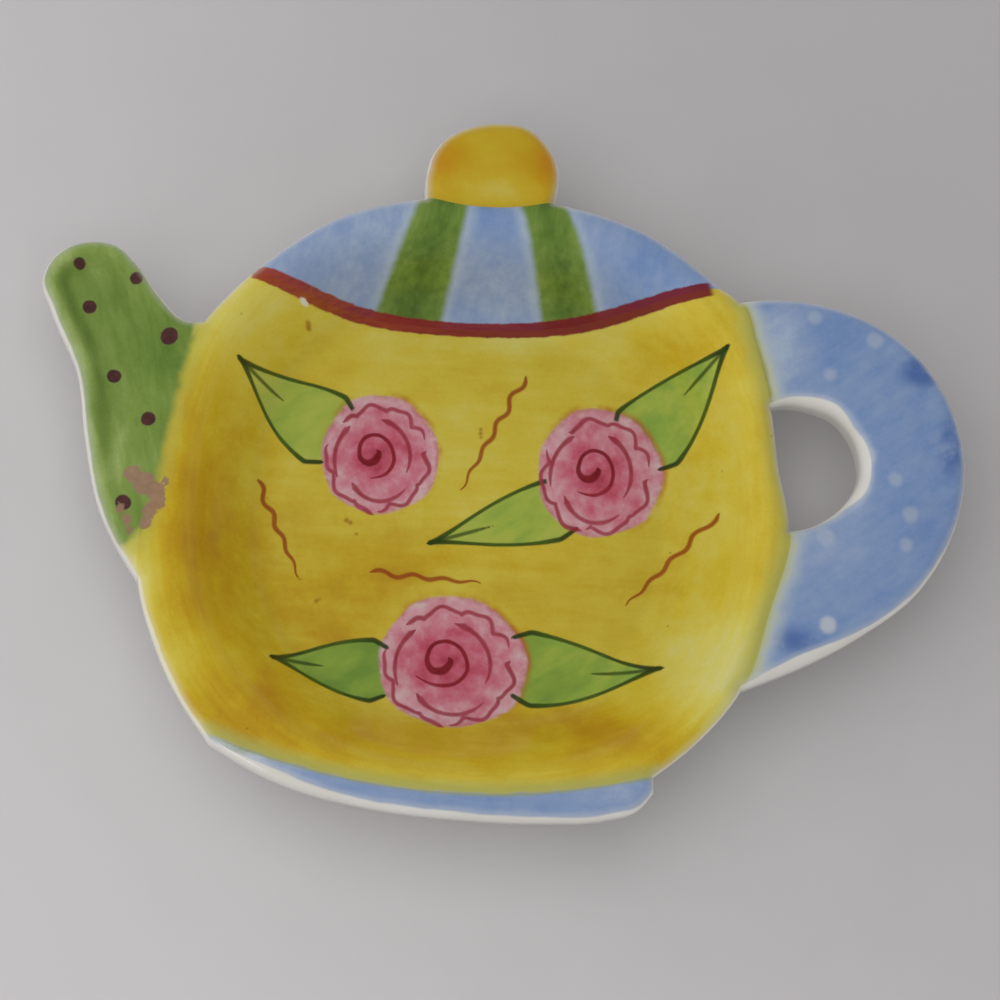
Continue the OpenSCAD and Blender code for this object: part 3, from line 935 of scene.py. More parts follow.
@dataclass
class Finish:
    """One material under way, built up in layers as the painter lays them.

    The bisque is there first. Each layer covers what lies under it where its gates
    let it, and the last step closes the surface with glaze, or leaves it matt.
    """

    name: str
    material: bpy.types.Material = field(init=False)
    tree: bpy.types.NodeTree = field(init=False)
    place: Socket = field(init=False)
    ragged: Socket = field(init=False)
    colour: Socket = field(init=False)

    def __post_init__(self) -> None:
        """Starts the material with its coordinates and the ragged edge of brush strokes."""
        self.material = bpy.data.materials.new(self.name)
        self.material.use_nodes = True
        self.tree = self.material.node_tree
        self.tree.nodes.clear()
        self.place = add(self.tree, "ShaderNodeTexCoord").outputs["Object"]
        self.ragged = self.pattern(1.6, 3.0)

    def pattern(self, grain: float, detail: float = 4.0, roughness: float = 0.55,
                turn: float = 0.0, stretch: float = 1.0, shift: float = 0.0) -> Socket:
        """Adds the cloudy or streaky pattern that a brush leaves in a wash.

        Args:
            grain: Size of its patches in millimetres.
            detail: Octaves of finer grain.
            roughness: How strong the finer grain is.
            turn: Degrees that its streaks run from the length.
            stretch: How many times longer than wide a patch is.
            shift: Moves it, so that two patterns differ.

        Returns:
            The pattern, about 0.5 on average.
        """
        turned = add(self.tree, "ShaderNodeVectorRotate",
                     {"Vector": self.place, "Angle": -math.radians(turn)}, rotation_type="Z_AXIS")
        drawn_out = add(self.tree, "ShaderNodeVectorMath",
                        {0: turned.outputs[0], 1: (1 / stretch, 1.0, 1.0), 2: (shift, shift, 0.0)},
                        operation="MULTIPLY_ADD")
        made = add(self.tree, "ShaderNodeTexNoise",
                   {"Vector": drawn_out.outputs[0], "Scale": 1 / (grain * MM), "Detail": detail,
                    "Roughness": roughness})
        return made.outputs["Fac"]

    def columns(self, name: Field) -> tuple[Socket, Socket, Socket]:
        """Reads the three columns of a named attribute.

        Args:
            name: The attribute.

        Returns:
            A socket for each column.
        """
        found = add(self.tree, "ShaderNodeAttribute", attribute_name=name.value)
        split = add(self.tree, "ShaderNodeSeparateXYZ", {0: found.outputs["Vector"]})
        return split.outputs[0], split.outputs[1], split.outputs[2]

    def total(self, *terms: tuple[Socket, float], start: float = 0.0) -> Socket:
        """Adds up sockets, each times its own factor, from a start.

        Args:
            *terms: Sockets, each with its factor.
            start: What they are added to.

        Returns:
            The sum.
        """
        found: Socket | float = start
        for socket, factor in terms:
            found = add(self.tree, "ShaderNodeMath", {0: socket, 1: factor, 2: found},
                        operation="MULTIPLY_ADD").outputs[0]
        return found

    def uneven(self, value: Socket, *patterns: tuple[Socket, float]) -> Socket:
        """Adds patterns to a value, each by its amount, so that its mean stays."""
        return self.total((value, 1.0), *patterns, start=-sum(amount for _, amount in patterns) / 2)

    def within(self, *gates: Gate, depth: float = 1.0) -> Socket:
        """Multiplies gates into one mask.

        Args:
            *gates: Values, each with where it lets nothing and where it lets all through.
            depth: The mask where every gate is open.

        Returns:
            The mask, which rises as a smooth step through each gate.
        """
        mask: Socket | float = depth
        for value, none, full in gates:
            shown = (0.0, 1.0) if none < full else (1.0, 0.0)
            step = add(self.tree, "ShaderNodeMapRange",
                       {"Value": value, "From Min": min(none, full), "From Max": max(none, full),
                        "To Min": shown[0], "To Max": shown[1]}, interpolation_type="SMOOTHSTEP")
            mask = add(self.tree, "ShaderNodeMath", {0: step.outputs["Result"], 1: mask},
                       operation="MULTIPLY").outputs[0]
        return mask

    def lay(self, paint: str | tuple[Socket, Stops], *gates: Gate, depth: float = 1.0) -> None:
        """Lays paint over what is there.

        Args:
            paint: One colour, or a density and the colours that it runs through.
            *gates: Where it shows, all over if there are none.
            depth: How opaque it is.
        """
        if isinstance(paint, str):
            colour = linear(paint)
        else:
            ramp = add(self.tree, "ShaderNodeValToRGB", {"Fac": paint[0]}, stops=paint[1])
            colour = ramp.outputs["Color"]
        if not gates:
            self.colour = colour
            return
        mixed = add(self.tree, "ShaderNodeMix",
                    {0: self.within(*gates, depth=depth), 6: self.colour, 7: colour}, data_type="RGBA")
        self.colour = mixed.outputs[2]

    def draw(self, name: Field, stops: Stops, *gates: Gate, soft: float = 0.35,
             depth: float = 0.95) -> None:
        """Lays a family of brush strokes, their edges slightly ragged and their paint uneven.

        The distance without sign keeps a stroke whole where it is thinner than the mesh.

        Args:
            name: The strokes' attribute.
            stops: The colours that their tone runs through.
            *gates: Where they show.
            soft: Half the width of the soft edge, as a share of a stroke's half width.
            depth: How opaque they are.
        """
        side, gap, tone = self.columns(name)
        inside = add(self.tree, "ShaderNodeMath", {0: side}, operation="ABSOLUTE")
        beyond = self.total((gap, 1.0), start=-0.5)
        across = add(self.tree, "ShaderNodeMath", {0: inside.outputs[0], 1: beyond}, operation="MAXIMUM")
        wavering = self.uneven(across.outputs[0], (self.ragged, 0.5))
        uneven = self.uneven(tone, (self.ragged, 0.6))
        self.lay((uneven, stops), (wavering, 1 + soft, 1 - soft), *gates, depth=depth)

    def glazed(self) -> bpy.types.Material:
        """Closes the surface with a clear gloss glaze, thin enough to wave a little.

        Returns:
            The material: a diffuse body whose only gloss is the glaze over it.
        """
        swell = self.pattern(7.0, 1.0, 0.4)
        skin = self.pattern(0.9, 2.0, 0.5)
        height = self.total((swell, 0.045), (skin, 0.003))
        bump = add(self.tree, "ShaderNodeBump", {"Height": height, "Strength": 1.0, "Distance": MM})
        shader = add(self.tree, "ShaderNodeBsdfPrincipled",
                     {"Base Color": self.colour, "Roughness": 0.6, "IOR": 1.5, "Specular IOR Level": 0.1,
                      "Coat Weight": 0.9, "Coat Roughness": 0.12, "Coat IOR": 1.5,
                      "Normal": bump.outputs[0], "Coat Normal": bump.outputs[0]})
        add(self.tree, "ShaderNodeOutputMaterial", {"Surface": shader.outputs[0]})
        return self.material

    def matt(self, roughness: float, grit: float) -> bpy.types.Material:
        """Leaves the surface matt, with a fine grit.

        Args:
            roughness: How rough it is.
            grit: Depth of the grit in millimetres.

        Returns:
            The material.
        """
        height = self.total((self.pattern(0.25, 3.0, 0.6), grit))
        bump = add(self.tree, "ShaderNodeBump", {"Height": height, "Strength": 1.0, "Distance": MM})
        shader = add(self.tree, "ShaderNodeBsdfPrincipled",
                     {"Base Color": self.colour, "Roughness": roughness, "IOR": 1.5,
                      "Normal": bump.outputs[0]})
        add(self.tree, "ShaderNodeOutputMaterial", {"Surface": shader.outputs[0]})
        return self.material


# The bisque under the glaze is near white, and each wash goes from a thin veil of colour
# over it to a thick coat. The borders' colours are mixtures of two washes, and the
# crease's darker olive is painted shade.
BISQUE_STOPS = ((0.3, "#CBC8BF"), (0.7, "#D1CFCA"))
CREAM_STOPS = ((0.3, "#D2CCAE"), (0.7, "#D6D2BE"))
YELLOW_STOPS = ((0.00, "#CDCDBC"), (0.18, "#C8C486"), (0.36, "#C8BD5A"), (0.54, "#C4B036"),
                (0.70, "#BC9F18"), (0.85, "#B08A0A"), (1.00, "#A07406"))
BLUE_STOPS = ((0.00, "#BCC0C6"), (0.25, "#9CAABE"), (0.45, "#8396B6"), (0.62, "#7089B2"),
              (0.80, "#5F7CAA"), (1.00, "#4A669C"))
GREEN_STOPS = ((0.00, "#B4BC88"), (0.25, "#93A45E"), (0.45, "#778E42"), (0.62, "#678034"),
               (0.80, "#547028"), (1.00, "#435A20"))
LEAF_STOPS = ((0.00, "#AEB150"), (0.35, "#9CAB42"), (0.60, "#84A03C"), (1.00, "#668B34"))
AMBER_STOPS = ((0.00, "#BDB258"), (0.35, "#B79D20"), (0.60, "#B4900E"), (0.80, "#B28006"),
               (1.00, "#A86A02"))
PINK_STOPS = ((0.00, "#CCB2B3"), (0.30, "#C6949B"), (0.55, "#C07080"), (0.75, "#B95367"),
              (1.00, "#A2364A"))
CRIMSON_STOPS = ((0.00, "#B25C6A"), (0.40, "#9C3848"), (0.70, "#861624"), (1.00, "#6C0008"))
LINE_GREEN_STOPS = ((0.00, "#6A8030"), (0.40, "#4A6412"), (0.75, "#2C4606"), (1.00, "#182C02"))
BRICK_STOPS = ((0.00, "#A47A10"), (0.45, "#984C04"), (1.00, "#863000"))
SEAM_STOPS = ((0.00, "#92341C"), (0.30, "#84221C"), (0.60, "#760E18"), (1.00, "#6C0A1C"))


def lay_bare_lip(finish: Finish, stops: Stops = BISQUE_STOPS) -> None:
    """Thins the wash at the lip, and leaves what lies beyond bare under the clear glaze.

    Args:
        finish: The material under way.
        stops: Colours of the bare clay.
    """
    lip, _, _ = finish.columns(Field.LIP)
    edge = finish.uneven(lip, (finish.pattern(5.0, 2.0, 0.5, shift=17.0), 0.5))
    body = (finish.pattern(12.0, 2.0), stops)
    finish.lay(body, (edge, 1.3, -0.1), depth=0.35)
    finish.lay(body, (edge, 0.30, -0.05))


def lay_seam(finish: Finish) -> None:
    """Draws the red line along the lid's lower edge, streaky along its length.

    Args:
        finish: The material under way.
    """
    gap, share, _ = finish.columns(Field.SEAM)
    size = add(finish.tree, "ShaderNodeMath", {0: gap}, operation="ABSOLUTE").outputs[0]
    across = finish.uneven(size, (finish.ragged, 0.5))
    streak = finish.pattern(0.7, 3.0, 0.6, 0.0, 6.0, 7.0)
    streak = finish.total((share, 0.9), (streak, 1.0), start=-0.45)
    finish.lay((streak, SEAM_STOPS), (across, 1.22, 0.92), (share, 0.0, 0.006), (share, 0.982, 0.966),
               depth=0.96)


def lay_green(finish: Finish, density: Socket, *gates: Gate) -> None:
    """Lays the spout's green, streaked along the spout, which runs over on to the belly.

    Args:
        finish: The material under way.
        density: How thick it is.
        *gates: Where it shows.
    """
    streak = finish.pattern(1.8, 4.0, 0.6, 108.0, 5.0, 3.0)
    wash = finish.uneven(density, (streak, 0.50), (finish.pattern(6.0, 4.0, 0.6), 0.35),
                         (finish.pattern(0.45, 2.0, 0.5), 0.12))
    finish.lay((wash, GREEN_STOPS), *gates)


def lay_crease_shade(finish: Finish) -> None:
    """Paints shade into the crease at the handle's upper root: a darker olive where its shadow falls.

    Args:
        finish: The material under way.
    """
    gap, strength, _ = finish.columns(Field.CREASE)
    away = finish.uneven(gap, (finish.ragged, 0.6))
    # Painted shade: darker olive along the crease, fading along the root.
    finish.lay("#7E8046", (away, 0.55, 0.0), (strength, 0.0, 1.0), depth=0.55)


def lay_worn(finish: Finish) -> None:
    """Shows the worn mauve patch where spout and belly meet.

    Args:
        finish: The material under way.
    """
    _, _, worn = finish.columns(Field.SEAM)
    edge = finish.uneven(worn, (finish.pattern(1.5, 4.0, 0.7, shift=21.0), 2.2))
    tone = finish.pattern(1.2, 2.0)
    finish.lay((tone, ((0.3, "#8A6A52"), (0.7, "#957462"))), (edge, 0.15, -0.15), depth=0.92)


def wandering(finish: Finish, value: Socket, amount: float) -> Socket:
    """Lets a border wander, in the same way on both of the pieces that it runs over."""
    return finish.uneven(value, (finish.pattern(3.0, 3.0, 0.6, shift=5.0), amount))


class Coat(Protocol):
    """The finish of a piece, which makes its own material."""

    def material(self) -> bpy.types.Material:
        """Builds the material."""


@dataclass(frozen=True)
class YellowBelly:
    """Lemon to golden underglaze on earthenware, with roses, leaves and squiggles."""

    name: str = "yellow_underglaze_earthenware"

    def material(self) -> bpy.types.Material:
        """Lays wash, running neighbours, motifs, bare lip and underside, in the painter's order.

        Returns:
            The material.
        """
        finish = Finish(self.name)
        mottle = finish.pattern(9.0, 4.0, 0.6)
        self._wash(finish, mottle)
        self._neighbours(finish)
        self._motifs(finish, mottle)
        lay_seam(finish)
        lay_worn(finish)
        # Painted shade in the crease at the handle's upper root.
        lay_crease_shade(finish)
        self._specks(finish)
        lay_bare_lip(finish, CREAM_STOPS)
        lip, _, _ = finish.columns(Field.LIP)
        finish.lay((finish.pattern(12.0, 2.0), BISQUE_STOPS), (lip, UNDERSIDE / 2, UNDERSIDE + 0.2))
        return finish.glazed()

    @staticmethod
    def _wash(finish: Finish, mottle: Socket) -> None:
        """Lays the yellow, level across the well and following the rim near it.

        Args:
            finish: The material under way.
            mottle: The wash's cloudy pattern.
        """
        density, orange, _ = finish.columns(Field.WASH)
        inset, east, north = finish.columns(Field.RIM)
        way = add(finish.tree, "ShaderNodeCombineXYZ", {0: inset, 1: east, 2: north})
        round_it = add(finish.tree, "ShaderNodeTexNoise",
                       {"Vector": way.outputs[0], "Scale": 1.0, "Detail": 3.0, "Roughness": 0.6})
        level = finish.pattern(2.2, 3.0, 0.6, 3.0, 6.0, 3.0)
        near = add(finish.tree, "ShaderNodeMix",
                   {0: finish.within((inset, 13.0, 5.0)), 2: level, 3: round_it.outputs["Fac"]})
        fine = finish.pattern(0.45, 2.0, 0.5)
        wash = finish.uneven(density, (mottle, 0.46), (near.outputs[0], 0.28), (fine, 0.12))
        finish.lay((wash, YELLOW_STOPS))
        finish.lay("#A66C12", (orange, 0.0, 1.0), (mottle, 0.30, 0.70), depth=0.85)

    @staticmethod
    def _neighbours(finish: Finish) -> None:
        """Lets the spout's green and the blue of handle and foot run over the seams.

        Args:
            finish: The material under way.
        """
        _, from_spout, from_handle = finish.columns(Field.LIP)
        _, _, from_foot = finish.columns(Field.WASH)
        near_spout = wandering(finish, from_spout, 1.4)
        finish.lay("#A6A648", (near_spout, 3.4, 0.6), depth=0.50)
        _, _, green = finish.columns(Field.CREASE)
        lay_green(finish, green, (near_spout, 1.1, -0.5))
        near_handle = wandering(finish, from_handle, 1.6)
        finish.lay("#A3A458", (near_handle, 3.6, 0.0), depth=0.80)
        near_foot = wandering(finish, from_foot, 0.6)
        finish.lay("#9FA25A", (near_foot, 2.6, 0.3), depth=0.75)
        finish.lay((finish.pattern(5.0, 3.0), BLUE_STOPS), (near_foot, 0.3, -0.3))

    @staticmethod
    def _motifs(finish: Finish, mottle: Socket) -> None:
        """Paints leaves and roses, their line work and the squiggles.

        Args:
            finish: The material under way.
            mottle: The wash's cloudy pattern.
        """
        outside, along, paint = finish.columns(Field.LEAF)
        streak = finish.pattern(4.0, 3.0, 0.6, 35.0, 2.0, 9.0)
        tone = finish.total((streak, 1.3), (along, -0.2), (paint, 1.0), start=-0.05)
        edge = finish.uneven(outside, (finish.ragged, 0.6))
        finish.lay((tone, LEAF_STOPS), (edge, 0.25, -0.2), depth=0.96)
        outside, share, halo = finish.columns(Field.ROSE)
        edge = finish.uneven(outside, (finish.ragged, 0.7))
        finish.lay("#A65C1E", (edge, 1.2, 0.1), (halo, 0.2, 0.9), (mottle, 0.35, 0.60), depth=0.9)
        body = finish.total((finish.pattern(3.0, 3.0, 0.6, shift=13.0), 1.2), (share, -0.66), start=0.33)
        finish.lay((body, PINK_STOPS), (edge, 0.35, -0.30))
        finish.lay("#A8505A", (edge, -0.9, -0.1), (edge, 0.3, 0.0), (finish.ragged, 0.35, 0.65),
                   depth=0.45)
        for side in (Field.LEAF_LEFT, Field.LEAF_RIGHT):
            finish.draw(side, LINE_GREEN_STOPS, (outside, -1.4, -0.9), soft=0.45)
        finish.draw(Field.MIDRIB, LINE_GREEN_STOPS, soft=0.6, depth=0.8)
        finish.draw(Field.PETAL, CRIMSON_STOPS, soft=0.5, depth=0.9)
        finish.draw(Field.HEART, CRIMSON_STOPS)
        finish.draw(Field.SQUIGGLE, BRICK_STOPS, soft=0.5, depth=0.92)

    @staticmethod
    def _specks(finish: Finish) -> None:
        """Adds brown specks, in the cells of a Voronoi net whose draw is high, drops and a chip.

        Args:
            finish: The material under way.
        """
        net = add(finish.tree, "ShaderNodeTexVoronoi", {"Vector": finish.place, "Scale": 1 / (3.0 * MM)})
        drawn = add(finish.tree, "ShaderNodeSeparateColor", {0: net.outputs["Color"]})
        finish.lay("#6B4A1C", (net.outputs["Distance"], 0.10, 0.05), (drawn.outputs[0], 0.90, 0.97),
                   depth=0.7)
        chip, drop, _ = finish.columns(Field.DOT)
        finish.lay("#92600A", (drop, 0.25, -0.20), depth=0.80)
        finish.lay("#CDC6B8", (finish.uneven(chip, (finish.ragged, 0.8)), 0.15, -0.05))


class Part(Enum):
    """The parts of the pot that are washed blue."""

    LID = "lid"
    HANDLE = "handle"
    FOOT = "foot"


@dataclass(frozen=True)
class BlueWash:
    """Mottled cornflower underglaze on earthenware, for lid, handle and foot band."""

    name: str
    part: Part

    def material(self) -> bpy.types.Material:
        """Lays the blue wash and what is painted on this part of the pot.

        Returns:
            The material.
        """
        finish = Finish(self.name)
        turn = {Part.LID: 86.0, Part.HANDLE: 38.0, Part.FOOT: 3.0}[self.part]
        density, dark, from_foot = finish.columns(Field.WASH)
        mottle = finish.pattern(5.0, 5.0, 0.62)
        streak = finish.pattern(1.8, 3.0, 0.6, turn, 4.0, 4.0)
        fine = finish.pattern(0.45, 2.0, 0.5)
        wash = finish.uneven(density, (mottle, 0.42), (streak, 0.30), (fine, 0.10))
        finish.lay((wash, BLUE_STOPS))
        if self.part is Part.LID:
            self._stripes(finish)
            lay_seam(finish)
        if self.part is Part.HANDLE:
            self._dots(finish, dark, mottle)
            self._root(finish)
            # Painted shade in the crease at the handle's upper root.
            lay_crease_shade(finish)
        if self.part is Part.FOOT:
            edge = finish.uneven(from_foot, (mottle, 0.6))
            finish.lay((finish.pattern(3.0, 3.0, 0.6, 3.0, 5.0), YELLOW_STOPS), (edge, -0.25, 0.35))
            finish.lay("#8F9662", (edge, -0.5, 0.0), (edge, 0.9, 0.3), depth=0.8)
            finish.lay("#75804E", (dark, 0.2, 0.8), (mottle, 0.25, 0.65), depth=0.8)
        lay_bare_lip(finish)
        return finish.glazed()

    @staticmethod
    def _root(finish: Finish) -> None:
        """Thins the blue where the handle leaves the belly, with a trace of yellow.

        Args:
            finish: The material under way.
        """
        _, _, from_handle = finish.columns(Field.LIP)
        edge = wandering(finish, from_handle, 1.6)
        finish.lay("#A6B0B4", (edge, -3.4, -0.6), depth=0.78)
        finish.lay("#AEB07E", (edge, -1.6, 0.2), depth=0.85)

    @staticmethod
    def _stripes(finish: Finish) -> None:
        """Paints the lid's two green stripes, streaky along their length.

        Args:
            finish: The material under way.
        """
        inside, _, _ = finish.columns(Field.STRIPE)
        edge = finish.uneven(inside, (finish.ragged, 0.5))
        finish.lay("#B0B9BE", (edge, -2.0, -0.2), depth=0.35)
        streak = finish.pattern(1.4, 3.0, 0.6, 84.0, 6.0, 2.0)
        body = finish.total((streak, 0.6), (inside, 0.07), start=0.24)
        finish.lay((body, GREEN_STOPS), (edge, -0.55, 0.85))

    @staticmethod
    def _dots(finish: Finish, dark: Socket, mottle: Socket) -> None:
        """Paints the handle's darker patches and its round pale dots.

        Args:
            finish: The material under way.
            dark: How dark a patch is.
            mottle: The wash's cloudy pattern.
        """
        finish.lay("#45629A", (dark, 0.05, 0.9), (mottle, 0.25, 0.60), depth=0.9)
        gap, strength, _ = finish.columns(Field.DOT)
        soft = finish.uneven(gap, (finish.ragged, 0.6))
        finish.lay("#AAB1BC", (soft, 0.45, -0.5), (strength, 0.0, 1.0))


@dataclass(frozen=True)
class GreenSpout:
    """Mottled green underglaze, streaked along the spout, with maroon spots."""

    name: str = "green_underglaze_earthenware"

    def material(self) -> bpy.types.Material:
        """Lays the green wash, the yellow that runs in from the belly, and the spots.

        Returns:
            The material.
        """
        finish = Finish(self.name)
        _, from_spout, _ = finish.columns(Field.LIP)
        density, _, _ = finish.columns(Field.WASH)
        lay_green(finish, density)
        border = wandering(finish, from_spout, 1.4)
        tone = finish.total((finish.pattern(4.0, 3.0), 0.5), start=0.12)
        finish.lay((tone, YELLOW_STOPS), (border, -0.5, 1.1))
        finish.lay("#A6A648", (border, -0.5, 1.1), (border, 3.4, 0.6), depth=0.50)
        gap, shown, _ = finish.columns(Field.DOT)
        edge = finish.uneven(gap, (finish.ragged, 0.35))
        finish.lay((finish.pattern(0.8, 2.0), ((0.3, "#3C1A1E"), (0.7, "#4E2429"))),
                   (edge, 0.16, -0.10), (shown, 0.0, 1.0), depth=0.97)
        lay_worn(finish)
        lay_bare_lip(finish)
        return finish.glazed()


@dataclass(frozen=True)
class AmberKnob:
    """Amber underglaze, nearly orange where the brush left most colour."""

    name: str = "amber_underglaze_earthenware"

    def material(self) -> bpy.types.Material:
        """Lays the amber wash.

        Returns:
            The material.
        """
        finish = Finish(self.name)
        density, _, _ = finish.columns(Field.WASH)
        wash = finish.uneven(density, (finish.pattern(3.5, 4.0, 0.6), 0.45),
                             (finish.pattern(0.45, 2.0), 0.10))
        finish.lay((wash, AMBER_STOPS))
        lay_bare_lip(finish)
        return finish.glazed()


@dataclass(frozen=True)
class BareClay:
    """Unglazed white earthenware, wiped with a sponge: matt, slightly sandy, warm white."""

    name: str = "bisque_earthenware"

    def material(self) -> bpy.types.Material:
        """Speckles the clay.

        Returns:
            The material.
        """
        finish = Finish(self.name)
        tone = finish.total((finish.pattern(2.5, 4.0, 0.6), 0.7), (finish.pattern(0.3, 2.0), 0.4),
                            start=-0.05)
        finish.lay((tone, ((0.2, "#B3A995"), (0.5, "#C2BBAB"), (0.8, "#CBC6BA"))))
        return finish.matt(0.85, 0.03)


@dataclass(frozen=True)
class PaleCard:
    """Matt pale card, which the rest lies on: a faint tooth, and painted shade that makes it a little
    darker to the far right.
    """

    name: str = "pale_matt_card"

    def material(self) -> bpy.types.Material:
        """Paints shade slowly across the card, over 220 mm, darker to the far right and back, and clouds it
        a little.

        Returns:
            The material.
        """
        finish = Finish(self.name)
        way = add(finish.tree, "ShaderNodeSeparateXYZ", {0: finish.place})
        # Painted shade: the card darkens towards +x and +y, standing in for light that falls off away from
        # the lamps.
        slope = -1 / (220.0 * MM)
        shade = finish.total((way.outputs[0], slope), (way.outputs[1], slope),
                             (finish.pattern(14.0, 6.0, 0.6), 0.25), start=0.375)
        finish.lay((shade, ((0.0, "#B3B0B1"), (1.0, "#CBC8C9"))))
        return finish.matt(0.9, 0.01)


# The pieces of the rest


@dataclass
class Shell:
    """Points and faces of one closed solid, with the columns that its paint needs.

    Attributes:
        points: Places in the frame, in millimetres.
        faces: Quads and triangles, as rows of point numbers.
        plan_points: The upper side's places in plan, about the frame's origin.
        lip: Distance of each of them to the outline.
        piece: The object, once its mesh is written.
    """

    points: Array
    faces: list[Array]
    plan_points: Array
    lip: Array
    piece: bpy.types.Object | None = None

    def mesh(self, name: str) -> bpy.types.Object:
        """Writes the solid as an object that stays at the origin.

        Args:
            name: The piece's name.

        Returns:
            The object, smooth but for its sharp edges.
        """
        mesh = bpy.data.meshes.new(name)
        corners = np.concatenate([part.ravel() for part in self.faces])
        sizes = np.concatenate([np.full(len(part), part.shape[1]) for part in self.faces])
        mesh.vertices.add(len(self.points))
        mesh.vertices.foreach_set("co", (self.points * MM).ravel())
        mesh.loops.add(len(corners))
        mesh.loops.foreach_set("vertex_index", corners)
        mesh.polygons.add(len(sizes))
        mesh.polygons.foreach_set("loop_start", np.concatenate([[0], np.cumsum(sizes)[:-1]]))
        mesh.update(calc_edges=True)
        mesh.validate()
        mesh.shade_smooth()
        mesh.set_sharp_from_angle(angle=math.radians(SHARP_DEGREES))
        self.piece = bpy.data.objects.new(name, mesh)
        bpy.context.scene.collection.objects.link(self.piece)
        return self.piece

    def store(self, name: Field, *columns: Array | float,
              below: tuple[float, float, float] = (0, 0, 0)) -> None:
        """Stores up to three columns as an attribute, with one value for the whole underside.

        Args:
            name: The attribute.
            *columns: A value for each point of the upper side, or one for them all.
            below: The row that every other point gets, and what missing columns get.
        """
        count = len(self.plan_points)
        known = np.column_stack([np.full(count, c) if np.ndim(c) == 0 else c for c in columns])
        rows = np.tile(np.array(below, np.float32), (len(self.points), 1))
        rows[:count, :known.shape[1]] = known
        layer = self.piece.data.attributes.new(name.value, "FLOAT_VECTOR", "POINT")
        layer.data.foreach_set("vector", rows.ravel())


